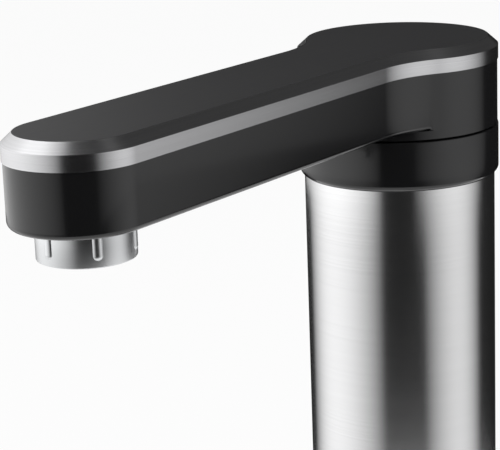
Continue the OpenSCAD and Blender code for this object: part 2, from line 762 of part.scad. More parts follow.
stem_flange_r = 14;
stem_flange_t = 3;
stem_head_r = 9;
stem_head_h = 9;
water_z = head_floor + stem_flange_t + stem_head_h / 2;
water_r = water_d / 2;
tube_seat = 3;
stem_screw_r = 11.4;
stem_screw_turn = 90;
screw_l = 5;
module swivel_stem() color("#c4a35a") difference() {
    union() {
        up(stem_bottom) cylinder(h = head_floor - stem_bottom, r = stem_r);
        up(head_floor) cylinder(h = stem_flange_t, r = stem_flange_r);
        up(head_floor) cylinder(h = stem_flange_t + stem_head_h, r = stem_head_r - land);
    }
    up(stem_bottom - over) cylinder(h = water_z - stem_bottom + over, r = stem_in);
    up(water_z) rotate([90, 0, 0]) cylinder(h = stem_head_r, r = water_r - water_wall);
    up(water_z) rotate([90, 0, 0]) translate([0, 0, stem_head_r - tube_seat]) cylinder(h = stem_head_r, r = water_r + fit);
    for (z = oring_z) up(z - stem_oring_r - fit)
        ring(stem_r + over, stem_r - 2 * stem_oring_r - fit, 2 * stem_oring_r + 2 * fit);
    up(clip_bottom - fit) ring(stem_r + over, stem_r - clip_depth - fit, clip_t + 2 * fit);
    around(3, stem_screw_r, stem_screw_turn) up(head_floor - over) cylinder(h = stem_flange_t + 2 * over, r = m3_r + fit, $fn = 32);
}

module stem_o_rings() color("#222222") for (z = oring_z) up(z) torus(stem_r - stem_oring_r, stem_oring_r);

module stem_circlip() color("#8d9094") up(clip_bottom) difference() {
    ring(clip_r, stem_r - clip_depth, clip_t);
    up(-over) front_sector(housing_r, clip_t + 2 * over, clip_gap_turn);
}

glide_out = 19;
glide_in = 14;
glide_h = 1.2;
module glide_ring() color("#e9e6dc") up(collar_top + run) ring(glide_out, glide_in, glide_h);

// Head and arm
arm_r = arm_w / 2;
neck_x = arm_r + neck_r;
neck_step = 0.001;
neck_y = -neck_step * round(sqrt((body_r + neck_r) * (body_r + neck_r) - neck_x * neck_x) / neck_step);

// One layer of the head and arm, drawn in from the full outline by inset at its foot and inset_top at its top
module head_layer(h, inset, inset_top) {
    hub_layer(h, inset, inset_top);
    arm_layer(h, inset, inset_top);
}

module hub_layer(h, inset, inset_top) {
    difference() {
        cylinder(h = h, r1 = body_r - inset, r2 = body_r - inset_top);
        up(-over) waist(h + 2 * over);
    }
}

module arm_layer(h, inset, inset_top) {
    slope = (inset_top - inset) / h;
    difference() {
        waist(h);
        for (s = [-1, 1]) translate([s * neck_x, neck_y, -over])
            cylinder(h = h + 2 * over, r1 = neck_r + inset - slope * over, r2 = neck_r + inset_top + slope * over);
    }
    translate([0, neck_y, 0]) rotate([90, 0, 0]) linear_extrude(tip_y + neck_y) polygon([
        [inset - arm_r, 0], [arm_r - inset, 0], [arm_r - inset_top, h], [inset_top - arm_r, h]
    ]);
    translate([0, -tip_y, 0]) difference() {
        cylinder(h = h, r1 = arm_r - inset, r2 = arm_r - inset_top);
        translate([-arm_w, 0, -over]) cube([2 * arm_w, 2 * arm_w, h + 2 * over]);
    }
}

module waist(h) linear_extrude(h) polygon([[0, 0], [neck_x, neck_y], [-neck_x, neck_y]]);

// The arm's lowest layers, which round its lower edge in steps that each turn it by the same angle
edge_steps = 3;
module arm_edge_layers(inset) {
    turn = 90 / edge_steps;
    hub_layer(arm_edge_r, inset, inset);
    for (i = [0 : edge_steps - 1]) up(arm_edge_r * (1 - cos(i * turn))) arm_layer(
        arm_edge_r * (cos(i * turn) - cos((i + 1) * turn)),
        inset + arm_edge_r * (1 - sin(i * turn)),
        inset + arm_edge_r * (1 - sin((i + 1) * turn)));
}

arm_bottom = collar_top + arm_lift;
shell_top = collar_top + shell_h;
band_top = shell_top + band_h;
top_z = band_top + bevel_h;
socket_hole_r = socket_d / 2 + 3 * fit;
skirt_h = 4;
skirt_t = 1.5;
panel_gap = 0.1;

module spout_shell() color("#1b1b1c") difference() {
    union() {
        up(head_bottom) cylinder(h = arm_bottom - head_bottom, r = body_r - shell_inset);
        up(arm_bottom) arm_edge_layers(shell_inset);
        up(arm_bottom + arm_edge_r) head_layer(shell_top - arm_bottom - arm_edge_r, shell_inset, shell_inset);
        lug();
    }
    up(head_floor) head_layer(shell_top - head_floor + over, shell_inset + shell_wall, shell_inset + shell_wall);
    up(head_bottom - over) cylinder(h = head_floor - head_bottom + 2 * over, r = stem_r + run);
    up(head_bottom - over) ring(glide_out + fit, glide_in - fit, collar_top + glide_h + run - head_bottom + over);
    translate([0, -outlet_y, arm_bottom - over]) cylinder(h = shell_wall + 2 * over, r = socket_hole_r);
    around(3, stem_screw_r, stem_screw_turn) up(head_floor - screw_l + fit) cylinder(h = screw_l, r = m3_r + fit / 2, $fn = 32);
}

module lug() up(collar_top - slot_h + free) difference() {
    front_sector(lug_r + lug_t / 2, head_bottom - collar_top + slot_h, lug_turn);
    up(-over) cylinder(h = slot_h * 2, r = lug_r - lug_t / 2);
}

module spout_trim_band() color("#b3b5b8") difference() {
    union() {
        up(shell_top) head_layer(band_h, 0, 0);
        up(band_top) head_layer(bevel_h, 0, bevel_w);
        up(shell_top - skirt_h) head_layer(skirt_h, shell_inset + shell_wall + fit, shell_inset + shell_wall + fit);
    }
    up(shell_top - skirt_h - over) head_layer(
        skirt_h + band_h + bevel_h + 2 * over, shell_inset + shell_wall + skirt_t, shell_inset + shell_wall + skirt_t);
    up(top_z - panel_t) head_layer(panel_t + over, bevel_w, bevel_w);
}

module spout_top_panel() color("#343435") up(top_z - panel_t) head_layer(panel_t, bevel_w + panel_gap, bevel_w + panel_gap);

// Water path in the arm
socket_r = socket_d / 2;
socket_flange_t = 3;
socket_step = 3;
socket_roof = 2;
socket_wall = 2.5;
socket_out = socket_r + socket_step;
socket_top = water_z + water_r + socket_roof;
aerator_r = aerator_d / 2;
aerator_bottom = arm_bottom - aerator_drop;
insert_h = 4;
lip_w = 1.6;
lip_h = 0.8;
gasket_h = 1.5;
insert_bottom = aerator_bottom + lip_h;
socket_bottom = insert_bottom + insert_h + gasket_h;
tube_from = stem_head_r - tube_seat + fit;
tube_to = outlet_y - socket_r + tube_seat;

module waterway_tube() color("#d5d7d9") translate([0, -tube_from, water_z]) rotate([90, 0, 0])
    ring(water_r, water_r - water_wall, tube_to - tube_from);

module outlet_socket() color("#c4a35a") translate([0, -outlet_y, 0]) difference() {
    union() {
        up(socket_bottom) cylinder(h = head_floor - socket_bottom, r = socket_r);
        up(head_floor) cylinder(h = socket_flange_t, r = socket_out);
        up(head_floor) cylinder(h = socket_top - head_floor, r = socket_r);
    }
    up(socket_bottom - over) cylinder(h = water_z - socket_bottom, r = socket_r - socket_wall);
    up(water_z) rotate([-90, 0, 0]) cylinder(h = socket_r + over, r = water_r - water_wall);
    up(water_z) rotate([-90, 0, 0]) translate([0, 0, socket_r - tube_seat]) cylinder(h = socket_r, r = water_r + fit);
}

module aerator_gasket() color("#222222") translate([0, -outlet_y, insert_bottom + insert_h])
    ring(socket_r - fit, socket_r - socket_wall, gasket_h);

nozzle_rings = [0, 3, 6];
nozzle_counts = [1, 6, 12];
nozzle_r = 0.7;
module aerator_insert() color("#c8cacc") translate([0, -outlet_y, insert_bottom]) difference() {
    cylinder(h = insert_h, r = socket_r - 2 * fit);
    for (i = [0 : len(nozzle_rings) - 1]) around(nozzle_counts[i], nozzle_rings[i])
        up(-over) cylinder(h = insert_h + 2 * over, r = nozzle_r, $fn = 16);
}

rib_start = -37;
rib_gap = 1.5;
module aerator_shell() color("#c9cbcd") translate([0, -outlet_y, aerator_bottom]) {
    rib_r = (rib_half_w * rib_half_w + rib_out * rib_out) / (2 * rib_out);
    shell = aerator_drop - fit * 3;
    difference() {
        union() {
            cylinder(h = rib_gap, r = aerator_r);
            up(rib_gap) linear_extrude(shell - rib_gap) union() {
                circle(r = aerator_r);
                around(rib_count, aerator_r + rib_out - rib_r, rib_start) circle(r = rib_r);
            }
        }
        up(lip_h) cylinder(h = shell, r = socket_r + fit);
        up(-over) cylinder(h = shell, r = socket_r - lip_w);
    }
}

module spout_screws() color("#9a9da1") around(3, stem_screw_r, stem_screw_turn)
    up(head_floor + stem_flange_t) socket_screw(stem_flange_t + screw_l - 3 * fit);

deck_gasket();
mounting_shank();
deck_seal();
deck_washer();
fixing_nut();
shank_plug();
cable_gland();
shank_screws();
base_plate();
base_body();
base_screws();
display_window();
display_digits();
display_board();
terminal_block();
inlet_pipe();
inlet_nipple();
inlet_filter();
valve_body();
fixed_disc();
moving_disc();
cartridge_housing();
cartridge_spindle();
cartridge_nut();
valve_bezel();
lever();
lever_screw();
lever_cap();
flow_switch_body();
flow_piston();
piston_magnet();
flow_spring();
flow_switch_cap();
reed_switch();
element_flange();
heating_elements();
element_terminals();
tank_o_ring();
heater_tank();
thermal_cutout();
temperature_probe();
tie_rods();
tie_rod_nuts();
column_sleeve();
collar();
swivel_housing();
housing_cap();
swivel_stem();
stem_o_rings();
stem_circlip();
glide_ring();
spout_shell();
spout_trim_band();
spout_top_panel();
waterway_tube();
outlet_socket();
aerator_gasket();
aerator_insert();
aerator_shell();
spout_screws();
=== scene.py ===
import json
import math

import bmesh
import bpy
from mathutils import Matrix, Vector


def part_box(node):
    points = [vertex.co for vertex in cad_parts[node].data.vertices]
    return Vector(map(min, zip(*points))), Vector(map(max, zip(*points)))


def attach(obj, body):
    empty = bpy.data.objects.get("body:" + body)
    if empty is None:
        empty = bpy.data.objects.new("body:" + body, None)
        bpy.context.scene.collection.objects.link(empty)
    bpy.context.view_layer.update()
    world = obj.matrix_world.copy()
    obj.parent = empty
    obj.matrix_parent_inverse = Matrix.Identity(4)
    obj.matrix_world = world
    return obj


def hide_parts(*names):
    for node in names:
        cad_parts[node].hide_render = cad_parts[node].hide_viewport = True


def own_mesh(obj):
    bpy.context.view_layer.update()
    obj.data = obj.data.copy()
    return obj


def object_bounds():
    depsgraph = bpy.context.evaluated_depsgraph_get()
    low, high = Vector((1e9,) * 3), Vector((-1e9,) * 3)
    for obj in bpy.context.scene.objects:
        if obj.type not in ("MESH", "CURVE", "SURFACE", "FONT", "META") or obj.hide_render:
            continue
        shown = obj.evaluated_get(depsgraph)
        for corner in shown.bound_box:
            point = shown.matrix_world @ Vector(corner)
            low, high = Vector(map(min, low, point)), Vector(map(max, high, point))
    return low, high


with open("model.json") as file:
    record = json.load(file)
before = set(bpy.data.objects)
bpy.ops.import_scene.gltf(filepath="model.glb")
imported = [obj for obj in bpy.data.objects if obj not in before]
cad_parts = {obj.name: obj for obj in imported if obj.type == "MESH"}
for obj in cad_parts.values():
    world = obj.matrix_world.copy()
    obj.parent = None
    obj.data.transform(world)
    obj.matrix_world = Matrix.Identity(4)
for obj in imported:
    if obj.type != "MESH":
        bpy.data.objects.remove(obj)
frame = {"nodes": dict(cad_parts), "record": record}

bl_info = {
    "name": "Instant Water Heater Tap",
    "version": (1, 0, 0),
    "blender": (4, 5, 0),
    "location": "3D View > Sidebar > Tap",
    "description": "Dresses a swivelling instant water heater tap with its modelled shells and finishes",
    "category": "Add Mesh",
}

CAD_BOX = [list(corner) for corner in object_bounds()]
MM = 0.001
QUARTER = math.pi / 2
HALF = math.pi
FULL = 2 * math.pi


# Boxes of the frame's pieces

SLEEVE_LOW, SLEEVE_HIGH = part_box("column_sleeve")
SHELL_LOW, SHELL_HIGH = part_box("spout_shell")
BAND_LOW, BAND_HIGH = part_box("spout_trim_band")
AERATOR_LOW, AERATOR_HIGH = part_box("aerator_shell")
LEVER_LOW, LEVER_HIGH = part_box("lever")
CAP_LOW, CAP_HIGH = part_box("lever_cap")
BEZEL_LOW, BEZEL_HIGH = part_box("valve_bezel")
BASE_LOW, BASE_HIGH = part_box("base_body")
WINDOW_LOW, WINDOW_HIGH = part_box("display_window")
DIGITS_LOW, DIGITS_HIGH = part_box("display_digits")
SPRING_LOW, SPRING_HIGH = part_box("flow_spring")
NIPPLE_LOW, NIPPLE_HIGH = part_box("inlet_nipple")
INSERT_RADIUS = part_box("aerator_insert")[1][0]
COLLAR_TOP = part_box("collar")[1][2]
SHANK_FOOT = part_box("mounting_shank")[0][2]
NUT_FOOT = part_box("fixing_nut")[0][2]
SEAL_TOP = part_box("deck_seal")[1][2]


# Sizes of the head, the column and the collar

HEAD_FOOT_GAP = 0.4 * MM
HEAD_FOOT = COLLAR_TOP + HEAD_FOOT_GAP
HEAD_EDGE = 0.25 * MM
HUB_STEPS = 48
NECK_STEPS = 24
TIP_STEPS = 32
HUB_RADIUS = (BAND_HIGH[0] - BAND_LOW[0]) / 2
SHELL_RADIUS = (SHELL_HIGH[0] - SHELL_LOW[0]) / 2
SLEEVE_RADIUS = (SLEEVE_HIGH[0] - SLEEVE_LOW[0]) / 2
BAND_FOOT = SHELL_HIGH[2]
EDGE_RUN_IN = 1.5 * MM
PANEL_SEAT = 1.5 * MM
PANEL_SEAT_LIP = 0.01 * MM
PANEL_THICKNESS = 1.4 * MM
PANEL_GAP = 0.08 * MM
PANEL_EDGE = 0.12 * MM
COLUMN_WALL = 1 * MM
COLUMN_EDGE = 0.2 * MM
COLLAR_BORE = 19.3 * MM
COLLAR_SHOULDER = 0.07 * MM


# Sizes of the base and its display

BASE_WALL = 2.4 * MM
BASE_EDGE = 0.6 * MM
BASE_SHOULDER = 0.18 * MM
BOSS_RADIUS = (BEZEL_HIGH[2] - BEZEL_LOW[2]) / 2 + 0.1 * MM
BOSS_EDGE = 0.5 * MM
VALVE_BORE = 11.1 * MM
OVERRUN = 2 * MM
LONG_OVERRUN = 5 * MM
WINDOW_GAP = 0.1 * MM
OPENING_CORNER = 2 * MM
WINDOW_CORNER = 1.9 * MM
WINDOW_PANE = 1.6 * MM
WINDOW_EDGE = 0.2 * MM
DIGIT_PROUD = 0.2 * MM
SEGMENT_GAP_SHARE = 0.7
SEGMENT_CHAMFER_SHARE = 0.9
CASE_CORNER = 0.6 * MM
CASE_EDGE = 0.15 * MM


# Sizes of the lever, the switch's spring, the threads and the outlet

LEVER_AXIS = (BEZEL_LOW[2] + BEZEL_HIGH[2]) / 2
LEVER_TIP_WIDTH = 9 * MM
LEVER_BLADE = 5 * MM
LEVER_EDGE = 1.2 * MM
LEVER_FOOT_EDGE = 0.5 * MM
BLADE_SINK = 0.3 * MM
BLADE_TIP_STEPS = 16
BLADE_ROOT_GAP = 1 * MM
BLADE_ROOT_SHARE = 0.55
SPINDLE_BORE = 4.6 * MM
CAP_RADIUS = (CAP_HIGH[2] - CAP_LOW[2]) / 2
CAP_SEAT_GAP = 0.1 * MM
CAP_SEAT_LIP = 0.2 * MM
CAP_THICKNESS = 1.6 * MM
CAP_EDGE = 0.35 * MM
CAP_SHOULDER = 0.1 * MM
SPRING_GAP = 0.05 * MM
DECK = 0
SHANK_RADIUS = 16 * MM
NIPPLE_RADIUS = 8.331 * MM
NIPPLE_THREAD = 12 * MM
RIDGE_SHARE = 0.55
OUTLET_RADIUS = 12.96 * MM
OUTLET_GAP = 0.3 * MM
OUTLET_LIP = 1.8 * MM
OUTLET_LIP_HEIGHT = 0.9 * MM
OUTLET_EDGE = 0.35 * MM
OUTLET_SHOULDER = 0.1 * MM
RIB_FOOT = 1.5 * MM
FIRST_RIB = -37


# Places and levels of the light and the camera

RING_RADIUS = 0.42
RING_SPLIT = 0.103
RING_SHOULDER = 0.30
RING_TOP = 0.75
RING_DARK = 0.012
LID_DARK = 4 * RING_DARK
RING_SIDES = 96

# Each lobe is its middle in degrees, its width before and after, its peak and its power
LOW_LOBES = ((-149, 48, 70, 1.05, 0.85), (13, 46, 36, 0.78, 0.9))
MIDDLE_LOBES = ((-135, 80, 56, 1.3, 0.6), (5, 48, 50, 0.9, 0.8))
HIGH_LOBES = ((-140, 80, 47, 1.2, 0.6), (20, 50, 40, 0.12, 1.0))
FLOOR_SIZE = 12
FLOOR_GAP = 1 * MM
FLOOR_GLOW = 0.92
WORLD_LEVEL = 0.55
LAMP_AIM = (0, -0.05, 0.15)
WHITE = (1, 1, 1, 1)
CAMERA_SPOT = (0.3044, -0.5052, 0.3416)
CAMERA_TURN = math.radians(35.741)
CAMERA_PITCH = math.radians(14.603)
CAMERA_ROLL = math.radians(-2.13)
CAMERA_LENS = 136.81
CAMERA_SENSOR = 36


# Sizes and colours that can be set in the panel

def length(name, description, size):
    return bpy.props.FloatProperty(name=name, description=description, default=size, unit="LENGTH")


def count(name, description, number):
    return bpy.props.IntProperty(name=name, description=description, default=number)


def tone(name, description, colour):
    return bpy.props.FloatVectorProperty(
        name=name, description=description, subtype="COLOR", default=colour)


class TapSizes(bpy.types.PropertyGroup):
    """Sizes of the pieces that the frame's boxes don't give"""

    arm_width: length("Arm width", "Width of the arm over the metal band", 37.92 * MM)
    neck_radius: length("Neck radius", "Blend between the arm and the round head", 35 * MM)
    arm_lift: length("Arm lift", "Height of the arm's underside above the head's lower edge", 2.8 * MM)
    arm_edge: length("Arm edge radius", "Rounding of the arm's lower edge", 1.9 * MM)
    shell_inset: length("Shell inset", "How far the black shell lies inside the band", 0.3 * MM)
    bevel_height: length("Bevel height", "Height of the band's bevel", 2.7 * MM)
    bevel_width: length("Bevel width", "Width of the band's bevel from above", 3.03 * MM)
    band_edge: length("Band edge", "Small rounding of the band's edges", 0.35 * MM)
    rim_height: length("Rim height", "Height of the rounded rim where black meets steel", 1.8 * MM)
    shank_pitch: length("Shank pitch", "Pitch of the shank's thread", 1.5 * MM)
    inlet_pitch: length("Inlet pitch", "Pitch of the inlet nipple's thread", 1.337 * MM)
    spring_wire: length("Spring wire", "Wire of the flow switch's spring", 0.5 * MM)
    spring_turns: count("Spring turns", "Turns of the flow switch's spring", 6)
    digit_width: length("Digit width", "Width of a display digit", 5 * MM)
    digit_height: length("Digit height", "Height of a display digit", 8 * MM)
    digit_pitch: length("Digit pitch", "Distance between the two digits", 8 * MM)
    digit_stroke: length("Digit stroke", "Width of a digit's segments", 1.1 * MM)
    rib_count: count("Ribs", "Ribs round the aerator", 6)
    rib_out: length("Rib height", "How far a rib stands out", 0.55 * MM)
    rib_half_width: length("Rib half width", "Half of a rib's width", 1.25 * MM)


class TapColours(bpy.types.PropertyGroup):
    """Colours of the finishes"""

    black: tone("Black shells", "Black plastic", (0.008, 0.008, 0.0085))
    panel: tone("Top panel", "Dark inlay", (0.022, 0.022, 0.023))
    column: tone("Column", "Brushed steel", (0.84, 0.84, 0.845))
    band: tone("Band", "Brushed band", (0.60, 0.60, 0.61))
    outlet: tone("Outlet", "Satin chrome", (0.74, 0.75, 0.76))
    brass: tone("Brass", "Machined brass", (0.60, 0.43, 0.18))
    backdrop: tone("Backdrop", "Floor and background", (0.80, 0.80, 0.80))


def sizes():
    return bpy.context.scene.tap_sizes


def colours():
    return bpy.context.scene.tap_colours


# Shader maths

# The Mix node's colour sockets go by number, since their names repeat
COLOUR_A = 6
COLOUR_B = 7
COLOUR_RESULT = 2


class Field:
    """One output socket, with Python's operators adding Math nodes"""

    def __init__(self, nodes, socket):
        self.nodes = nodes
        self.socket = socket

    def maths(self, operation, *values):
        return self.nodes.node("ShaderNodeMath", {"operation": operation}, dict(enumerate(values)))

    def __add__(self, other):
        return self.maths("ADD", self, other)

    def __mul__(self, other):
        return self.maths("MULTIPLY", self, other)

    def __sub__(self, other):
        return self.maths("SUBTRACT", self, other)

    def __radd__(self, other):
        return self.maths("ADD", self, other)


class Nodes:
    """A node tree that is filled by expressions"""

    def __init__(self, tree):
        self.tree = tree

    def node(self, kind, settings, values, output=0):
        made = self.tree.nodes.new(kind)
        for setting, value in settings.items():
            setattr(made, setting, value)
        for key, value in values.items():
            self.join(made.inputs[key], value)
        return Field(self, made.outputs[output])

    def join(self, socket, value):
        """Links a field to a socket, or sets the socket to a constant"""
        if isinstance(value, Field):
            self.tree.links.new(value.socket, socket)
        else:
            socket.default_value = value

    def show(self, output, shader):
        """Joins a shader to the tree's output node"""
        self.join(self.tree.nodes[output].inputs["Surface"], shader)


class Finish(Nodes):
    """A material whose Principled shader is filled by expressions"""

    def __init__(self, name, colour, roughness, metallic=0.0, **constants):
        self.material = bpy.data.materials.new(name)
        self.material.use_nodes = True
        super().__init__(self.material.node_tree)
        self.shader = self.tree.nodes["Principled BSDF"]
        self.colour = (*colour, 1.0)
        self.set("Base Color", self.colour)
        self.set("Roughness", roughness)
        self.set("Metallic", metallic)
        for socket, value in constants.items():
            self.set(socket.replace("_", " "), value)
        self.place = self.node("ShaderNodeTexCoord", {}, {}, "Object")

    def set(self, socket, value):
        self.join(self.shader.inputs[socket], value)

    def noise(self, stretch, detail=3.0, rough=0.5):
        spot = self.node("ShaderNodeMapping", {}, {"Vector": self.place, "Scale": stretch})
        return self.node("ShaderNodeTexNoise", {}, {
            "Vector": spot, "Scale": 1.0, "Detail": detail, "Roughness": rough})

    def mixed(self, field, low, high):
        """A colour between low and high"""
        return self.node("ShaderNodeMix", {"data_type": "RGBA"}, {
            "Factor": field, COLOUR_A: low, COLOUR_B: high}, COLOUR_RESULT)

    def tint(self, field, amount):
        """Darkens and lightens the base colour by a share of itself"""
        low = (*[c * (1 - amount) for c in self.colour[:3]], 1.0)
        high = (*[min(1.0, c * (1 + amount)) for c in self.colour[:3]], 1.0)
        self.set("Base Color", self.mixed(field, low, high))

    def bump(self, field, strength, depth):
        self.set("Normal", self.node("ShaderNodeBump", {}, {
            "Strength": strength, "Distance": depth, "Height": field}))


# Finishes

def brushed_metal(name, colour, roughness, stretch, streak, depth):
    """Metal brushed in fine lines, whose stretch says along which axis they are close together"""
    finish = Finish(name, colour, roughness, 1.0)
    lines = finish.noise(stretch, detail=4.0, rough=0.6)
    haze = finish.noise((18, 18, 18), detail=2.0)
    finish.tint(lines, streak)
    finish.set("Roughness", roughness - 0.05 + lines * 0.06 + haze * 0.05)
    finish.bump(lines, 0.25, depth)
    return finish.material


def moulded_plastic(name, colour, roughness, grain, depth, coat=0.0, gloss=0.5):
    """Plastic with a fine grain, under a clear coat where coat is above 0"""
    finish = Finish(
        name, colour, roughness, Coat_Weight=coat, Coat_Roughness=0.08, Specular_IOR_Level=gloss)
    speckle = finish.noise((grain, grain, grain), detail=2.0)
    cloud = finish.noise((25, 25, 25), detail=3.0)
    finish.tint(cloud, 0.12)
    finish.set("Roughness", roughness - 0.04 + cloud * 0.05 + speckle * 0.03)
    finish.bump(speckle, 0.12, depth)
    return finish.material


def satin_inlay(name, colour):
    """A dark satin sheet, finely brushed along the arm"""
    finish = Finish(name, colour, 0.5, Specular_IOR_Level=0.5)
    lines = finish.noise((2600, 9, 20), detail=4.0, rough=0.6)
    cloud = finish.noise((14, 14, 14), detail=2.0)
    finish.tint(lines, 0.14)
    finish.set("Roughness", 0.44 + lines * 0.08 + cloud * 0.06)
    finish.bump(lines, 0.2, 0.006 * MM)
    return finish.material


def soft_rubber(name):
    finish = Finish(name, (0.022, 0.022, 0.023), 0.7, Specular_IOR_Level=0.3)
    grain = finish.noise((900, 900, 900), detail=3.0)
    finish.tint(grain, 0.3)
    finish.set("Roughness", 0.62 + grain * 0.15)
    finish.bump(grain, 0.3, 0.05 * MM)
    return finish.material


def machined_metal(name, colour, roughness):
    """Metal with the fine rings that a lathe leaves, and a faint stain"""
    finish = Finish(name, colour, roughness, 1.0)
    rings = finish.noise((60, 60, 1100), detail=3.0)
    stain = finish.noise((40, 40, 40), detail=3.0)
    finish.tint(stain, 0.1)
    finish.set("Roughness", roughness - 0.06 + rings * 0.08 + stain * 0.06)
    finish.bump(rings, 0.15, 0.02 * MM)
    return finish.material


def smoked_window(name):
    finish = Finish(name, (0.006, 0.006, 0.008), 0.06, Alpha=0.45, Coat_Weight=0.5, Coat_Roughness=0.03)
    smear = finish.noise((60, 60, 60), detail=3.0)
    finish.set("Roughness", 0.05 + smear * 0.05)
    return finish.material


def lit_segments(name):
    finish = Finish(name, (0.9, 0.95, 1.0), 0.4, Emission_Strength=1.6)
    haze = finish.noise((300, 300, 300), detail=2.0)
    finish.set("Emission Color", finish.mixed(haze, (0.55, 0.85, 1.0, 1.0), (0.8, 0.95, 1.0, 1.0)))
    return finish.material


def circuit_board(name):
    finish = Finish(name, (0.015, 0.11, 0.05), 0.45)
    tracks = finish.node("ShaderNodeTexVoronoi", {"feature": "DISTANCE_TO_EDGE"}, {
        "Vector": finish.place, "Scale": 420.0}, "Distance")
    finish.tint(tracks * 6, 0.35)
    return finish.material


def make_finishes():
    """The material of each of the record's slots, and of the display's lit segments"""
    c = colours()
    return {
        "black_gloss": moulded_plastic(
            "black_shell", c.black, roughness=0.17, grain=2400, depth=0.004 * MM, coat=0.3, gloss=0.42),
        "brushed_column": brushed_metal(
            "brushed_column", c.column, roughness=0.18, stretch=(7, 7, 2200), streak=0.07, depth=0.008 * MM),
        "brushed_band": brushed_metal(
            "brushed_band", c.band, roughness=0.22, stretch=(8, 8, 2600), streak=0.12, depth=0.008 * MM),
        "dark_panel": satin_inlay("dark_panel", c.panel),
        "satin_chrome": brushed_metal(
            "satin_chrome", c.outlet, roughness=0.30, stretch=(30, 30, 1500), streak=0.03, depth=0.004 * MM),
        "steel": machined_metal("machined_steel", (0.55, 0.56, 0.57), roughness=0.3),
        "brass": machined_metal("machined_brass", c.brass, roughness=0.28),
        "rubber": soft_rubber("soft_rubber"),
        "white_plastic": moulded_plastic(
            "white_moulding", (0.70, 0.69, 0.65), roughness=0.45, grain=900, depth=0.01 * MM),
        "grey_plastic": moulded_plastic(
            "grey_moulding", (0.06, 0.06, 0.065), roughness=0.45, grain=900, depth=0.01 * MM),
        "display_glass": smoked_window("smoked_window"),
        "board_green": circuit_board("circuit_board"),
        "lit_segments": lit_segments("lit_segments"),
    }


# The names of the finishes, by slot, filled in by main
FINISH_NAMES = {}


# Modelling by hand

TINY = 0.001 * MM
MERGE_GAP = 0.002 * MM
NEAR = 0.01 * MM
SMOOTH_BELOW = 35
RIM_STEPS = 8
CORNER_STEPS = 8
COIL_STEPS = 32

# Flat sides of what is round
ROUND_SIDES = 192
OUTLET_SIDES = 144
LEVER_SIDES = 128
BOSS_SIDES = 96
TOOL_SIDES = 150
VALVE_BORE_SIDES = 70
WIRE_SIDES = 10
RIDGE_SIDES = 4

# A small turn that keeps a cutter's edges off the edges of what it cuts
TOOL_TURN = 0.013


def pick_only(obj):
    """Leaves one object selected and active"""
    bpy.ops.object.select_all(action="DESELECT")
    obj.select_set(True)
    bpy.context.view_layer.objects.active = obj


def join_into(target, others):
    """Adds the meshes of other objects to the target's"""
    pick_only(target)
    for other in others:
        other.select_set(True)
    bpy.ops.object.join()


def settle(obj, turn, spot=(0, 0, 0)):
    """Turns and moves a piece's mesh itself, so that the piece stays at the origin"""
    obj.rotation_euler = turn
    obj.location = spot
    pick_only(obj)
    bpy.ops.object.transform_apply(location=True, rotation=True, scale=True)
    return obj


def turned_to_x(obj, x, z):
    """Lays a piece that was turned about Z along X, at a place and a height"""
    return settle(obj, (0, QUARTER, 0), (x, 0, z))


def start_drawing(name, spot):
    """A new mesh in edit mode that holds a single selected vertex"""
    bpy.ops.object.select_all(action="DESELECT")
    bpy.ops.mesh.primitive_plane_add(size=MM, location=(0, 0, 0))
    made = bpy.context.object
    made.name = name
    bpy.ops.object.mode_set(mode="EDIT")
    bpy.ops.mesh.select_mode(type="VERT")
    bpy.ops.mesh.select_all(action="SELECT")
    bpy.ops.mesh.merge(type="CENTER")
    bpy.ops.transform.translate(value=spot)
    return made


def extrude(step):
    """Draws on from what is selected: a line from a point, walls from an edge or a face"""
    bpy.ops.mesh.extrude_region_move(TRANSFORM_OT_translate={"value": step})


def draw_arc(centre, turn, steps):
    """Draws on along an arc about an upright axis, clockwise from above for a positive turn"""
    bpy.ops.mesh.spin(steps=steps, angle=-turn, center=centre, axis=(0, 0, 1))


def sweep_round(steps):
    """Turns everything drawn once about Z"""
    bpy.ops.mesh.select_all(action="SELECT")
    bpy.ops.mesh.spin(steps=steps, angle=FULL, center=(0, 0, 0), axis=(0, 0, 1))


def close_mesh(gap=MERGE_GAP):
    """Merges what lies double and turns the faces outward"""
    bpy.ops.mesh.select_mode(type="VERT")
    bpy.ops.mesh.select_all(action="SELECT")
    bpy.ops.mesh.remove_doubles(threshold=gap)
    bpy.ops.mesh.normals_make_consistent(inside=False)


def leave_edit(obj, smooth=SMOOTH_BELOW):
    """Ends edit mode and shades smooth where faces meet below an angle in degrees"""
    bpy.ops.object.mode_set(mode="OBJECT")
    pick_only(obj)
    bpy.ops.object.shade_smooth_by_angle(angle=math.radians(smooth))
    return obj


def clean_up(obj):
    """Merges what a boolean or a join left double and sets the shading"""
    pick_only(obj)
    bpy.ops.object.mode_set(mode="EDIT")
    close_mesh(TINY)
    leave_edit(obj)


def pick_parts(obj, kind, test):
    """Selects the edges or the faces that pass the test, in edit mode"""
    bpy.ops.mesh.select_all(action="DESELECT")
    bpy.ops.mesh.select_mode(type=kind)
    mesh = bmesh.from_edit_mesh(obj.data)
    for part in mesh.edges if kind == "EDGE" else mesh.faces:
        part.select_set(test(part))
    bmesh.update_edit_mesh(obj.data)


def pick_edges(obj, test):
    """Selects the edges whose two ends pass the test"""
    pick_parts(obj, "EDGE", lambda edge: all(test(v.co) for v in edge.verts))


def apply_modifier(obj, modifier):
    pick_only(obj)
    bpy.ops.object.modifier_apply(modifier=modifier.name)


def round_edges(obj, width, segments=2, angle=40):
    """A bevel, applied at once, of the edges sharper than an angle in degrees"""
    modifier = obj.modifiers.new("round", "BEVEL")
    modifier.width = width
    modifier.segments = segments
    modifier.limit_method = "ANGLE"
    modifier.angle_limit = math.radians(angle)
    modifier.harden_normals = False
    apply_modifier(obj, modifier)


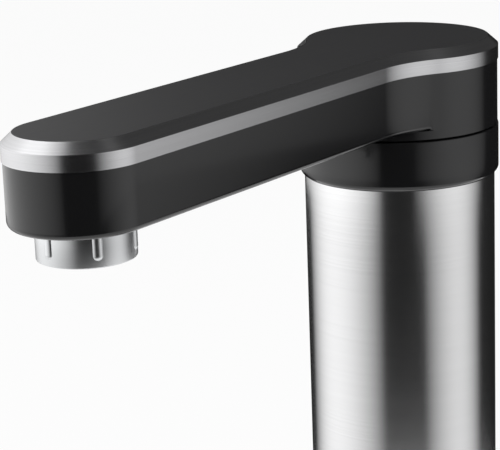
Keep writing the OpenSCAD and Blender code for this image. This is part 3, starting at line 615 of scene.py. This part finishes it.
def cut(obj, tool, operation="DIFFERENCE"):
    """A boolean, applied at once, that takes its tool away"""
    modifier = obj.modifiers.new("cut", "BOOLEAN")
    modifier.operation = operation
    modifier.solver = "EXACT"
    modifier.object = tool
    apply_modifier(obj, modifier)
    pick_only(tool)
    bpy.ops.object.delete()


def lathe(name, profile, steps=ROUND_SIDES):
    """A piece turned about Z from a closed profile of (radius, height) points"""
    radius, height = profile[0]
    made = start_drawing(name, (radius, 0, height))
    for (r0, z0), (r1, z1) in zip(profile, profile[1:] + profile[:1]):
        extrude((r1 - r0, 0, z1 - z0))
    sweep_round(steps)
    close_mesh()
    bpy.ops.mesh.dissolve_degenerate(threshold=TINY)
    bpy.ops.mesh.select_all(action="SELECT")
    bpy.ops.mesh.delete_loose()
    close_mesh()
    return leave_edit(made)


def rim_arc(outer, inner, foot, height):
    """Profile points of a rounded rim, from the inner radius at the foot out to the outer one"""
    out = outer - inner
    radius = (out * out + height * height) / (2 * out)
    start = math.asin(min(1, height / radius))
    points = []
    for step in range(RIM_STEPS + 1):
        turn = start * (1 - step / RIM_STEPS)
        points.append((outer - radius + radius * math.cos(turn), foot + height - radius * math.sin(turn)))
    return points


def rim_arc_down(outer, inner, top, height):
    """The same rim the other way up, from the outer radius in to the inner one at the top"""
    return [(r, 2 * top - z) for r, z in reversed(rim_arc(outer, inner, top, height))]


def rounded_block(name, low, high, corner, segments=CORNER_STEPS):
    """A block whose edges along Y are rounded"""
    bpy.ops.object.select_all(action="DESELECT")
    middle = [(a + b) / 2 for a, b in zip(low, high)]
    bpy.ops.mesh.primitive_cube_add(size=1, location=middle)
    made = bpy.context.object
    made.name = name
    made.scale = [b - a for a, b in zip(low, high)]
    bpy.ops.object.transform_apply(location=True, rotation=True, scale=True)
    bpy.ops.object.mode_set(mode="EDIT")
    depth = high[1] - low[1]
    pick_parts(made, "EDGE", lambda edge: abs(edge.verts[0].co.y - edge.verts[1].co.y) > 0.9 * depth)
    bpy.ops.mesh.bevel(offset=corner, segments=segments, clamp_overlap=True)
    return leave_edit(made)


def tool_cylinder(radius, foot, top, steps=TOOL_SIDES):
    """A cutter about Z whose edges keep clear of the edges of what it cuts"""
    bpy.ops.object.select_all(action="DESELECT")
    bpy.ops.mesh.primitive_cylinder_add(vertices=steps, radius=radius, depth=top - foot)
    return settle(bpy.context.object, (0, 0, TOOL_TURN), (0, 0, (foot + top) / 2))


def wind(name, section, sides, radius, foot, pitch, turns, middle):
    """A closed helix about an upright axis: a section of a few sides, wound up at a radius"""
    bpy.ops.object.select_all(action="DESELECT")
    bpy.ops.mesh.primitive_circle_add(vertices=sides, radius=section)
    wound = bpy.context.object
    wound.name = name
    settle(wound, (QUARTER, 0, 0), (radius, 0, foot + section))
    screw = wound.modifiers.new("wind", "SCREW")
    screw.screw_offset = pitch
    screw.iterations = turns
    screw.steps = screw.render_steps = COIL_STEPS
    apply_modifier(wound, screw)
    bpy.ops.object.mode_set(mode="EDIT")
    bpy.ops.mesh.select_mode(type="VERT")
    bpy.ops.mesh.select_all(action="SELECT")
    bpy.ops.mesh.fill_holes(sides=0)
    close_mesh(TINY)
    leave_edit(wound)
    return settle(wound, (0, 0, 0), (middle.x, middle.y, 0))


def seat(obj, body, slot, *nodes):
    """Gives a finished piece its finish, the body it moves with and the nodes it stands for"""
    obj.data.materials.clear()
    obj.data.materials.append(bpy.data.materials[FINISH_NAMES[slot]])
    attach(obj, body)
    if nodes:
        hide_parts(*nodes)


# The head and its arm

def neck_centre():
    """The centre of the blend between the round head and the arm's right side, from above"""
    size = sizes()
    centre = Vector((size.arm_width / 2 + size.neck_radius, 0))
    centre.y = -math.sqrt((HUB_RADIUS + size.neck_radius) ** 2 - centre.x ** 2)
    return centre


def neck_end():
    """How far forward the round head's own edge reaches before the arm's edge starts"""
    centre = neck_centre()
    return HUB_RADIUS * centre.y / centre.length


def draw_head_plan(name, height, inset):
    """The closed outline of head and arm, drawn in by inset, as one flat face"""
    half = sizes().arm_width / 2
    tip = -(BAND_LOW[1] + half)
    neck = neck_centre()
    bend = math.atan2(-neck.y, neck.x)
    made = start_drawing(name, (0, HUB_RADIUS - inset, height))
    draw_arc((0, 0, 0), -QUARTER - bend, HUB_STEPS)
    draw_arc((neck.x, neck.y, 0), bend, NECK_STEPS)
    extrude((0, -tip - neck.y, 0))
    draw_arc((0, -tip, 0), -QUARTER, TIP_STEPS)
    bpy.ops.object.mode_set(mode="OBJECT")
    mirror = made.modifiers.new("other_side", "MIRROR")
    mirror.merge_threshold = NEAR
    apply_modifier(made, mirror)
    bpy.ops.object.mode_set(mode="EDIT")
    bpy.ops.mesh.select_all(action="SELECT")
    bpy.ops.mesh.remove_doubles(threshold=MERGE_GAP)
    bpy.ops.mesh.edge_face_add()
    return made


class TAP_OT_spout_shell(bpy.types.Operator):
    """The black shell: a flat tray with a rounded lower edge along the arm, and the round head below it"""

    bl_idname = "tap.spout_shell"
    bl_label = "Spout shell"

    def execute(self, context):
        size = sizes()
        under = HEAD_FOOT + size.arm_lift
        shell = draw_head_plan("spout_shell_skin", under, size.shell_inset)
        extrude((0, 0, BAND_FOOT - under))
        close_mesh()
        start = neck_end() - EDGE_RUN_IN
        pick_edges(shell, lambda p: p.z < under + NEAR and p.y < start)
        bpy.ops.mesh.bevel(offset=size.arm_edge, segments=6, profile=0.5, clamp_overlap=False)
        leave_edit(shell)
        foot = lathe("head_foot", [
            (0, HEAD_FOOT), (SHELL_RADIUS - HEAD_EDGE, HEAD_FOOT), (SHELL_RADIUS, HEAD_FOOT + HEAD_EDGE),
            (SHELL_RADIUS, under), (0, under)])
        join_into(shell, [foot])
        seat(shell, "spout", "black_gloss", "spout_shell")
        return {"FINISHED"}


class TAP_OT_spout_band(bpy.types.Operator):
    """The brushed band: an upright face, a bevel above it with softened edges, and a seat for the panel"""

    bl_idname = "tap.spout_band"
    bl_label = "Trim band"

    def execute(self, context):
        size = sizes()
        band = draw_head_plan("spout_band", BAND_FOOT, 0)
        extrude((0, 0, BAND_HIGH[2] - size.bevel_height - BAND_FOOT))
        bpy.ops.mesh.inset(thickness=size.bevel_width, depth=0)
        bpy.ops.transform.translate(value=(0, 0, size.bevel_height))
        bpy.ops.mesh.inset(thickness=PANEL_SEAT_LIP, depth=0)
        extrude((0, 0, -PANEL_SEAT))
        close_mesh()
        leave_edit(band)
        round_edges(band, size.band_edge, segments=4, angle=25)
        leave_edit(band)
        seat(band, "spout", "brushed_band", "spout_trim_band")
        return {"FINISHED"}


class TAP_OT_top_panel(bpy.types.Operator):
    """The dark inlay on top of the spout, with a fine edge"""

    bl_idname = "tap.top_panel"
    bl_label = "Top panel"

    def execute(self, context):
        inset = sizes().bevel_width + PANEL_GAP
        panel = draw_head_plan("spout_panel", BAND_HIGH[2] - PANEL_THICKNESS, inset)
        extrude((0, 0, PANEL_THICKNESS))
        close_mesh()
        leave_edit(panel)
        round_edges(panel, PANEL_EDGE)
        seat(panel, "spout", "dark_panel", "spout_top_panel")
        return {"FINISHED"}


# The column and the base

class TAP_OT_column(bpy.types.Operator):
    """The steel column with softened ends"""

    bl_idname = "tap.column"
    bl_label = "Column"

    def execute(self, context):
        outer = SLEEVE_RADIUS
        inner = outer - COLUMN_WALL
        low, high = SLEEVE_LOW[2], SLEEVE_HIGH[2]
        sleeve = lathe("steel_column", [
            (inner, low), (outer - COLUMN_EDGE, low), (outer, low + COLUMN_EDGE),
            (outer, high - COLUMN_EDGE), (outer - COLUMN_EDGE, high), (inner, high)])
        seat(sleeve, "column", "brushed_column", "column_sleeve")
        return {"FINISHED"}


class TAP_OT_collar(bpy.types.Operator):
    """The black collar between the steel and the swivelling head, with its rounded lower rim"""

    bl_idname = "tap.collar"
    bl_label = "Collar"

    def execute(self, context):
        size = sizes()
        outer = SHELL_RADIUS + size.shell_inset
        foot = SLEEVE_HIGH[2]
        collar = lathe("collar_skin", [
            (COLLAR_BORE, foot), *rim_arc(outer, SLEEVE_RADIUS, foot, size.rim_height),
            (outer, COLLAR_TOP - HEAD_EDGE), (outer - COLLAR_SHOULDER, COLLAR_TOP - COLLAR_SHOULDER),
            (outer - HEAD_EDGE, COLLAR_TOP), (COLLAR_BORE, COLLAR_TOP)])
        seat(collar, "column", "black_gloss", "collar")
        return {"FINISHED"}


class TAP_OT_base(bpy.types.Operator):
    """The black base with its rounded rim, the boss that carries the lever and the display's opening"""

    bl_idname = "tap.base"
    bl_label = "Base"

    def execute(self, context):
        outer = -BASE_LOW[0]
        wall = outer - BASE_WALL
        low, top, side = BASE_LOW[2], SLEEVE_LOW[2], BASE_HIGH[0]
        rim = rim_arc_down(outer, SLEEVE_RADIUS, top, sizes().rim_height)
        base = lathe("base_skin", [
            (0, low), (outer - BASE_EDGE, low), (outer - BASE_SHOULDER, low + BASE_SHOULDER),
            (outer, low + BASE_EDGE), *rim, (0, top)])
        boss = lathe("lever_boss", [
            (0, 0), (BOSS_RADIUS, 0), (BOSS_RADIUS, side - BOSS_EDGE), (BOSS_RADIUS - BOSS_EDGE, side),
            (0, side)], BOSS_SIDES)
        settle(boss, (0, 0, TOOL_TURN))
        cut(base, turned_to_x(boss, 0, LEVER_AXIS), "UNION")
        cut(base, tool_cylinder(wall, low - LONG_OVERRUN, top + LONG_OVERRUN))
        bore = tool_cylinder(VALVE_BORE, wall / 2, 2 * outer, VALVE_BORE_SIDES)
        cut(base, turned_to_x(bore, 0, LEVER_AXIS))
        cut(base, rounded_block(
            "window_opening", (WINDOW_LOW[0] - WINDOW_GAP, -outer - OVERRUN, WINDOW_LOW[2] - WINDOW_GAP),
            (WINDOW_HIGH[0] + WINDOW_GAP, -wall / 2, WINDOW_HIGH[2] + WINDOW_GAP), OPENING_CORNER))
        clean_up(base)
        seat(base, "column", "black_gloss", "base_body")
        return {"FINISHED"}


class TAP_OT_display(bpy.types.Operator):
    """The smoked window of the display, curved with the base, with softened edges"""

    bl_idname = "tap.display"
    bl_label = "Display window"

    def execute(self, context):
        outer = -WINDOW_LOW[1]
        inner = outer - WINDOW_PANE
        low, high = WINDOW_LOW[2] - OVERRUN, WINDOW_HIGH[2] + OVERRUN
        pane = lathe("window_skin", [(inner, low), (outer, low), (outer, high), (inner, high)])
        cut(pane, rounded_block(
            "window_keep", (WINDOW_LOW[0], -outer - OVERRUN, WINDOW_LOW[2]),
            (WINDOW_HIGH[0], -inner / 2, WINDOW_HIGH[2]), WINDOW_CORNER), "INTERSECT")
        round_edges(pane, WINDOW_EDGE)
        clean_up(pane)
        seat(pane, "column", "display_glass", "display_window")
        return {"FINISHED"}


# Segments of a digit, as column, row and whether it stands upright
SEGMENTS = {
    "a": (0, 1, False), "b": (0.5, 0.5, True), "c": (0.5, -0.5, True), "d": (0, -1, False),
    "e": (-0.5, -0.5, True), "f": (-0.5, 0.5, True), "g": (0, 0, False)}
LIT = {"4": "bcfg", "5": "acdfg"}
SHOWN = ((-0.5, "4"), (0.5, "5"))


def lit_bar(place, key):
    """One lit segment of the digit at a place, with chamfered ends"""
    size = sizes()
    column, row, upright = SEGMENTS[key]
    half = size.digit_height / 2
    x = place * size.digit_pitch + column * size.digit_width
    z = (DIGITS_LOW[2] + DIGITS_HIGH[2]) / 2 + row * half
    along = (half if upright else size.digit_width) / 2 - SEGMENT_GAP_SHARE * size.digit_stroke
    across = size.digit_stroke / 2
    wide, high = (across, along) if upright else (along, across)
    front = DIGITS_LOW[1]
    return rounded_block(
        "segment", (x - wide, front, z - high), (x + wide, front + 2 * DIGIT_PROUD, z + high),
        SEGMENT_CHAMFER_SHARE * across, segments=1)


class TAP_OT_digits(bpy.types.Operator):
    """The display's dark case and its two lit seven-segment digits"""

    bl_idname = "tap.digits"
    bl_label = "Digits"

    def execute(self, context):
        left, front, foot = DIGITS_LOW
        case = rounded_block("digit_case", (left, front + DIGIT_PROUD, foot), DIGITS_HIGH, CASE_CORNER)
        round_edges(case, CASE_EDGE)
        seat(case, "column", "grey_plastic", "display_digits")
        lit, *others = [lit_bar(place, key) for place, digit in SHOWN for key in LIT[digit]]
        lit.name = "lit_digits"
        join_into(lit, others)
        seat(lit, "column", "display_glass")
        lit.data.materials[0] = bpy.data.materials[FINISH_NAMES["lit_segments"]]
        return {"FINISHED"}


# The lever, the spring, the threads and the outlet

class TAP_OT_lever(bpy.types.Operator):
    """The side lever: a round hub with a softened rim, a blade that tapers out of it, and its cap"""

    bl_idname = "tap.lever"
    bl_label = "Lever"

    def execute(self, context):
        hub = LEVER_HIGH[2] - LEVER_AXIS
        start, end = LEVER_LOW[0], LEVER_HIGH[0]
        thick = end - start
        recess = CAP_RADIUS + CAP_SEAT_GAP
        depth = thick - CAP_HIGH[0] + CAP_LOW[0]
        lever = lathe("lever_skin", [
            (SPINDLE_BORE, 0), (hub - LEVER_FOOT_EDGE, 0), (hub, LEVER_FOOT_EDGE),
            *rim_arc_down(hub, hub - LEVER_EDGE, thick, LEVER_EDGE), (recess + CAP_SEAT_LIP, thick),
            (recess, thick - CAP_SEAT_LIP), (recess, depth), (SPINDLE_BORE, depth)], LEVER_SIDES)
        turned_to_x(lever, start, LEVER_AXIS)
        blade = self.draw_blade(recess + BLADE_ROOT_GAP, hub * BLADE_ROOT_SHARE, end - BLADE_SINK)
        join_into(lever, [blade])
        clean_up(lever)
        seat(lever, "lever", "black_gloss", "lever")
        cap = lathe("lever_cap_skin", [
            (0, 0), (CAP_RADIUS, 0), (CAP_RADIUS, CAP_THICKNESS - CAP_EDGE),
            (CAP_RADIUS - CAP_SHOULDER, CAP_THICKNESS - CAP_SHOULDER),
            (CAP_RADIUS - CAP_EDGE, CAP_THICKNESS), (0, CAP_THICKNESS)], LEVER_SIDES)
        turned_to_x(cap, end - CAP_THICKNESS, LEVER_AXIS)
        seat(cap, "lever", "satin_chrome", "lever_cap")
        return {"FINISHED"}

    def draw_blade(self, root, wide, front):
        """The blade, from half its width at the root to the round tip, with softened edges"""
        tip = LEVER_TIP_WIDTH / 2
        reach = -LEVER_LOW[1] - tip
        blade = start_drawing("lever_blade", (front - LEVER_BLADE, -root, LEVER_AXIS - wide))
        extrude((0, root - reach, wide - tip))
        bpy.ops.mesh.spin(
            steps=BLADE_TIP_STEPS, angle=HALF, center=(front, -reach, LEVER_AXIS), axis=(1, 0, 0))
        extrude((0, reach - root, wide - tip))
        bpy.ops.mesh.select_all(action="SELECT")
        bpy.ops.mesh.edge_face_add()
        extrude((LEVER_BLADE, 0, 0))
        close_mesh()
        leave_edit(blade)
        round_edges(blade, LEVER_EDGE, segments=4)
        return blade


class TAP_OT_flow_spring(bpy.types.Operator):
    """The flow switch's wire spring, wound at one length to fill its frame piece; the real spring shortens
    as the piston rises
    """

    bl_idname = "tap.flow_spring"
    bl_label = "Flow spring"

    def execute(self, context):
        size = sizes()
        wire, turns = size.spring_wire, size.spring_turns
        free = SPRING_HIGH[2] - SPRING_LOW[2]
        middle = (SPRING_LOW + SPRING_HIGH) / 2
        radius = (SPRING_HIGH[0] - SPRING_LOW[0] - wire) / 2
        pitch = (free - wire - 2 * SPRING_GAP) / turns
        foot = SPRING_LOW[2] + SPRING_GAP
        coil = wind("flow_spring_coil", wire / 2, WIRE_SIDES, radius, foot, pitch, turns, middle)
        seat(coil, "column", "steel", "flow_spring")
        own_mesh(coil)
        return {"FINISHED"}


class TAP_OT_threads(bpy.types.Operator):
    """The threads on the shank, above and below its nut, and on the inlet nipple"""

    bl_idname = "tap.threads"
    bl_label = "Threads"

    def execute(self, context):
        size = sizes()
        axis = Vector((0, 0, 0))
        inlet = (NIPPLE_LOW + NIPPLE_HIGH) / 2
        start = NIPPLE_LOW[2]
        runs = (
            ("shank_thread_low", axis, SHANK_RADIUS, size.shank_pitch, SHANK_FOOT, NUT_FOOT),
            ("shank_thread_high", axis, SHANK_RADIUS, size.shank_pitch, SEAL_TOP, DECK),
            ("inlet_thread", inlet, NIPPLE_RADIUS, size.inlet_pitch, start, start + NIPPLE_THREAD))
        for name, middle, radius, pitch, low, high in runs:
            ridge = pitch * RIDGE_SHARE
            turns = int((high - low - pitch - 2 * ridge) / pitch)
            foot = (low + high - turns * pitch) / 2 - ridge
            thread = wind(name, ridge, RIDGE_SIDES, radius - ridge / 2, foot, pitch, turns, middle)
            seat(thread, "column", "brass")
        return {"FINISHED"}


class TAP_OT_aerator(bpy.types.Operator):
    """The ribbed outlet ring"""

    bl_idname = "tap.aerator"
    bl_label = "Aerator"

    def execute(self, context):
        low, high = AERATOR_LOW[2], AERATOR_HIGH[2]
        outer, edge = OUTLET_RADIUS, OUTLET_EDGE
        bore = INSERT_RADIUS + OUTLET_GAP
        lip = bore - OUTLET_LIP
        ring = lathe("outlet_ring", [
            (lip, low + edge), (lip + edge, low), (outer - edge, low),
            (outer - OUTLET_SHOULDER, low + OUTLET_SHOULDER), (outer, low + edge), (outer, high),
            (bore, high), (bore, low + OUTLET_LIP_HEIGHT), (lip, low + OUTLET_LIP_HEIGHT)], OUTLET_SIDES)
        ribs = sizes().rib_count
        turns = [math.radians(FIRST_RIB + rib * 360 / ribs) for rib in range(ribs)]
        join_into(ring, [self.draw_rib(turn, low + RIB_FOOT, high) for turn in turns])
        settle(ring, (0, 0, 0), (0, (AERATOR_LOW[1] + AERATOR_HIGH[1]) / 2, 0))
        seat(ring, "spout", "satin_chrome", "aerator_shell")
        return {"FINISHED"}

    def draw_rib(self, turn, foot, top):
        """An upright rib with a round foot, at a turn about the outlet's axis"""
        size = sizes()
        radius = (size.rib_half_width ** 2 + size.rib_out ** 2) / (2 * size.rib_out)
        reach = OUTLET_RADIUS + size.rib_out - radius
        bpy.ops.object.select_all(action="DESELECT")
        bpy.ops.mesh.primitive_uv_sphere_add(
            segments=32, ring_count=16, radius=radius,
            location=(reach * math.cos(turn), reach * math.sin(turn), foot + radius))
        rib = bpy.context.object
        bpy.ops.object.transform_apply(location=True, rotation=True, scale=True)
        bpy.ops.object.mode_set(mode="EDIT")
        pick_parts(rib, "FACE", lambda face: face.calc_center_median().z > foot + radius)
        bpy.ops.mesh.delete(type="FACE")
        pick_edges(rib, lambda p: p.z > foot + radius - TINY)
        extrude((0, 0, top - foot - radius))
        bpy.ops.mesh.edge_face_add()
        close_mesh()
        return leave_edit(rib, smooth=50)


class TAP_OT_node_finishes(bpy.types.Operator):
    """The finish of every frame piece that keeps its own shape"""

    bl_idname = "tap.node_finishes"
    bl_label = "Frame finishes"

    def execute(self, context):
        slots = {part["node"]: part["material_slot"] for part in frame["record"]["subparts"]}
        for node, obj in frame["nodes"].items():
            finish = bpy.data.materials[FINISH_NAMES[slots[node]]]
            if not obj.data.materials:
                obj.data.materials.append(finish)
            for index in range(len(obj.material_slots)):
                obj.material_slots[index].material = finish
        return {"FINISHED"}


# Floor, light and camera

def seen_directly(nodes):
    """One where a ray comes straight from the camera, a gloss or through glass"""
    rays = nodes.tree.nodes.new("ShaderNodeLightPath").outputs
    camera = Field(nodes, rays["Is Camera Ray"])
    either = camera.maths("MAXIMUM", camera, Field(nodes, rays["Is Glossy Ray"]))
    return camera.maths("MAXIMUM", either, Field(nodes, rays["Is Transmission Ray"]))


def lay_floor(height):
    """The pale floor, which glows towards the camera so that it stays as bright as the background"""
    bpy.ops.object.select_all(action="DESELECT")
    bpy.ops.mesh.primitive_plane_add(size=FLOOR_SIZE, location=(0, 0, height))
    floor = bpy.context.object
    floor.name = "floor"
    pale = Finish("pale_floor", colours().backdrop, 0.9)
    glow = pale.node("ShaderNodeEmission", {}, {"Color": WHITE})
    lit = Field(pale, pale.shader.outputs[0])
    pale.show("Material Output", pale.node("ShaderNodeMixShader", {}, {
        0: seen_directly(pale) * FLOOR_GLOW, 1: lit, 2: glow}))
    floor.data.materials.append(pale.material)


def fill_world(scene):
    """White where it is seen, and dimmer where it only lights"""
    scene.world = bpy.data.worlds.new("studio")
    scene.world.use_nodes = True
    nodes = Nodes(scene.world.node_tree)
    dim = nodes.tree.nodes["Background"]
    dim.inputs["Color"].default_value = WHITE
    dim.inputs["Strength"].default_value = WORLD_LEVEL
    white = nodes.node("ShaderNodeBackground", {}, {"Color": WHITE})
    nodes.show("World Output", nodes.node("ShaderNodeMixShader", {}, {
        0: seen_directly(nodes), 1: Field(nodes, dim.outputs[0]), 2: white}))


def soft_lobe(off, before, after, peak, power):
    """A glow that falls off smoothly on both sides of its middle, from which off is the turn in degrees"""
    side = off.maths("GREATER_THAN", off, 0)
    width = side * (after - before) + before
    near = off.maths("DIVIDE", off.maths("ABSOLUTE", off), width)
    fall = off.maths("COSINE", off.maths("MINIMUM", near, 1) * QUARTER)
    return off.maths("POWER", off.maths("MAXIMUM", fall, 0), power) * peak


def light_ring(name, low, high, base, lobes, lid=False):
    """A round screen about the tap that only reflections see, dark with soft bright lobes"""
    made = start_drawing(name, (RING_RADIUS, 0, low))
    extrude((0, 0, high - low))
    if lid:
        extrude((MM - RING_RADIUS, 0, 0))
    sweep_round(RING_SIDES)
    close_mesh()
    leave_edit(made)
    card = Finish(name, (base, base, base), 1.0)
    split = card.tree.nodes.new("ShaderNodeSeparateXYZ")
    card.join(split.inputs[0], card.place)
    across = Field(card, split.outputs["X"])
    along = Field(card, split.outputs["Y"])
    level = None
    for centre, before, after, peak, power in lobes:
        c, s = math.cos(math.radians(centre)), math.sin(math.radians(centre))
        turn = across.maths("ARCTAN2", along * c - across * s, across * c + along * s) * math.degrees(1)
        lobe = soft_lobe(turn, before, after, peak, power)
        level = lobe + base if level is None else level.maths("MAXIMUM", level, lobe)
    card.show("Material Output", card.node("ShaderNodeEmission", {}, {"Strength": level}))
    made.data.materials.append(card.material)
    made.visible_camera = False
    made.visible_diffuse = False
    made.visible_shadow = False
    made.visible_transmission = False


def soft_lamp(name, spot, width, power):
    """A square lamp aimed at the tap, which the camera doesn't see"""
    bpy.ops.object.light_add(type="AREA", location=spot)
    lamp = bpy.context.object
    lamp.name = name
    lamp.data.shape = "RECTANGLE"
    lamp.data.size = lamp.data.size_y = width
    lamp.data.energy = power
    lamp.visible_camera = False
    lamp.rotation_euler = (Vector(LAMP_AIM) - Vector(spot)).to_track_quat("-Z", "Y").to_euler()


def place_camera(scene):
    """The photo's camera, turned about the vertical, pitched down and rolled"""
    data = bpy.data.cameras.new("camera")
    data.sensor_width = CAMERA_SENSOR
    data.lens = CAMERA_LENS
    camera = bpy.data.objects.new("camera", data)
    scene.collection.objects.link(camera)
    forward = Vector((
        -math.sin(CAMERA_TURN) * math.cos(CAMERA_PITCH),
        math.cos(CAMERA_TURN) * math.cos(CAMERA_PITCH),
        -math.sin(CAMERA_PITCH)))
    level = Vector((math.cos(CAMERA_TURN), math.sin(CAMERA_TURN), 0))
    upward = level.cross(forward)
    right = level * math.cos(CAMERA_ROLL) + upward * math.sin(CAMERA_ROLL)
    top = upward * math.cos(CAMERA_ROLL) - level * math.sin(CAMERA_ROLL)
    turned = Matrix((right, top, -forward)).transposed()
    camera.matrix_world = Matrix.Translation(CAMERA_SPOT) @ turned.to_4x4()
    scene.camera = camera


class TAP_OT_stage(bpy.types.Operator):
    """The floor, the light and the camera"""

    bl_idname = "tap.stage"
    bl_label = "Stage"

    def execute(self, context):
        scene = context.scene
        scene.view_settings.view_transform = "Standard"
        floor = CAD_BOX[0][2] - FLOOR_GAP
        lay_floor(floor)
        fill_world(scene)
        light_ring("studio_low", floor + MM, RING_SPLIT, RING_DARK, LOW_LOBES)
        light_ring("studio_middle", RING_SPLIT, RING_SHOULDER, RING_DARK, MIDDLE_LOBES)
        light_ring("studio_high", RING_SHOULDER, RING_TOP, LID_DARK, HIGH_LOBES, lid=True)
        soft_lamp("key_lamp", spot=(-0.9, -0.9, 1.3), width=0.9, power=12)
        soft_lamp("fill_lamp", spot=(1.2, 0.1, 0.9), width=0.8, power=7)
        place_camera(scene)
        return {"FINISHED"}


# Panel and start

class TAP_PT_panel(bpy.types.Panel):
    """Lists the pieces and the sizes"""

    bl_label = "Water heater tap"
    bl_idname = "TAP_PT_panel"
    bl_space_type = "VIEW_3D"
    bl_region_type = "UI"
    bl_category = "Tap"

    def draw(self, context):
        for kind in OPERATORS:
            self.layout.operator(kind.bl_idname)
        for group in (sizes(), colours()):
            for prop in group.bl_rna.properties:
                if not prop.is_readonly and prop.identifier != "name":
                    self.layout.prop(group, prop.identifier)


OPERATORS = (
    TAP_OT_stage, TAP_OT_node_finishes, TAP_OT_spout_shell, TAP_OT_spout_band, TAP_OT_top_panel,
    TAP_OT_column, TAP_OT_collar, TAP_OT_base, TAP_OT_display, TAP_OT_digits, TAP_OT_lever,
    TAP_OT_flow_spring, TAP_OT_threads, TAP_OT_aerator)
CLASSES = (TapSizes, TapColours, *OPERATORS, TAP_PT_panel)


def register():
    for kind in CLASSES:
        bpy.utils.register_class(kind)
    bpy.types.Scene.tap_sizes = bpy.props.PointerProperty(type=TapSizes)
    bpy.types.Scene.tap_colours = bpy.props.PointerProperty(type=TapColours)


def unregister():
    del bpy.types.Scene.tap_colours
    del bpy.types.Scene.tap_sizes
    for kind in reversed(CLASSES):
        bpy.utils.unregister_class(kind)


def main():
    register()
    for slot, material in make_finishes().items():
        FINISH_NAMES[slot] = material.name
    for kind in OPERATORS:
        group, name = kind.bl_idname.split(".")
        getattr(getattr(bpy.ops, group), name)()


if __name__ == "__main__":
    main()
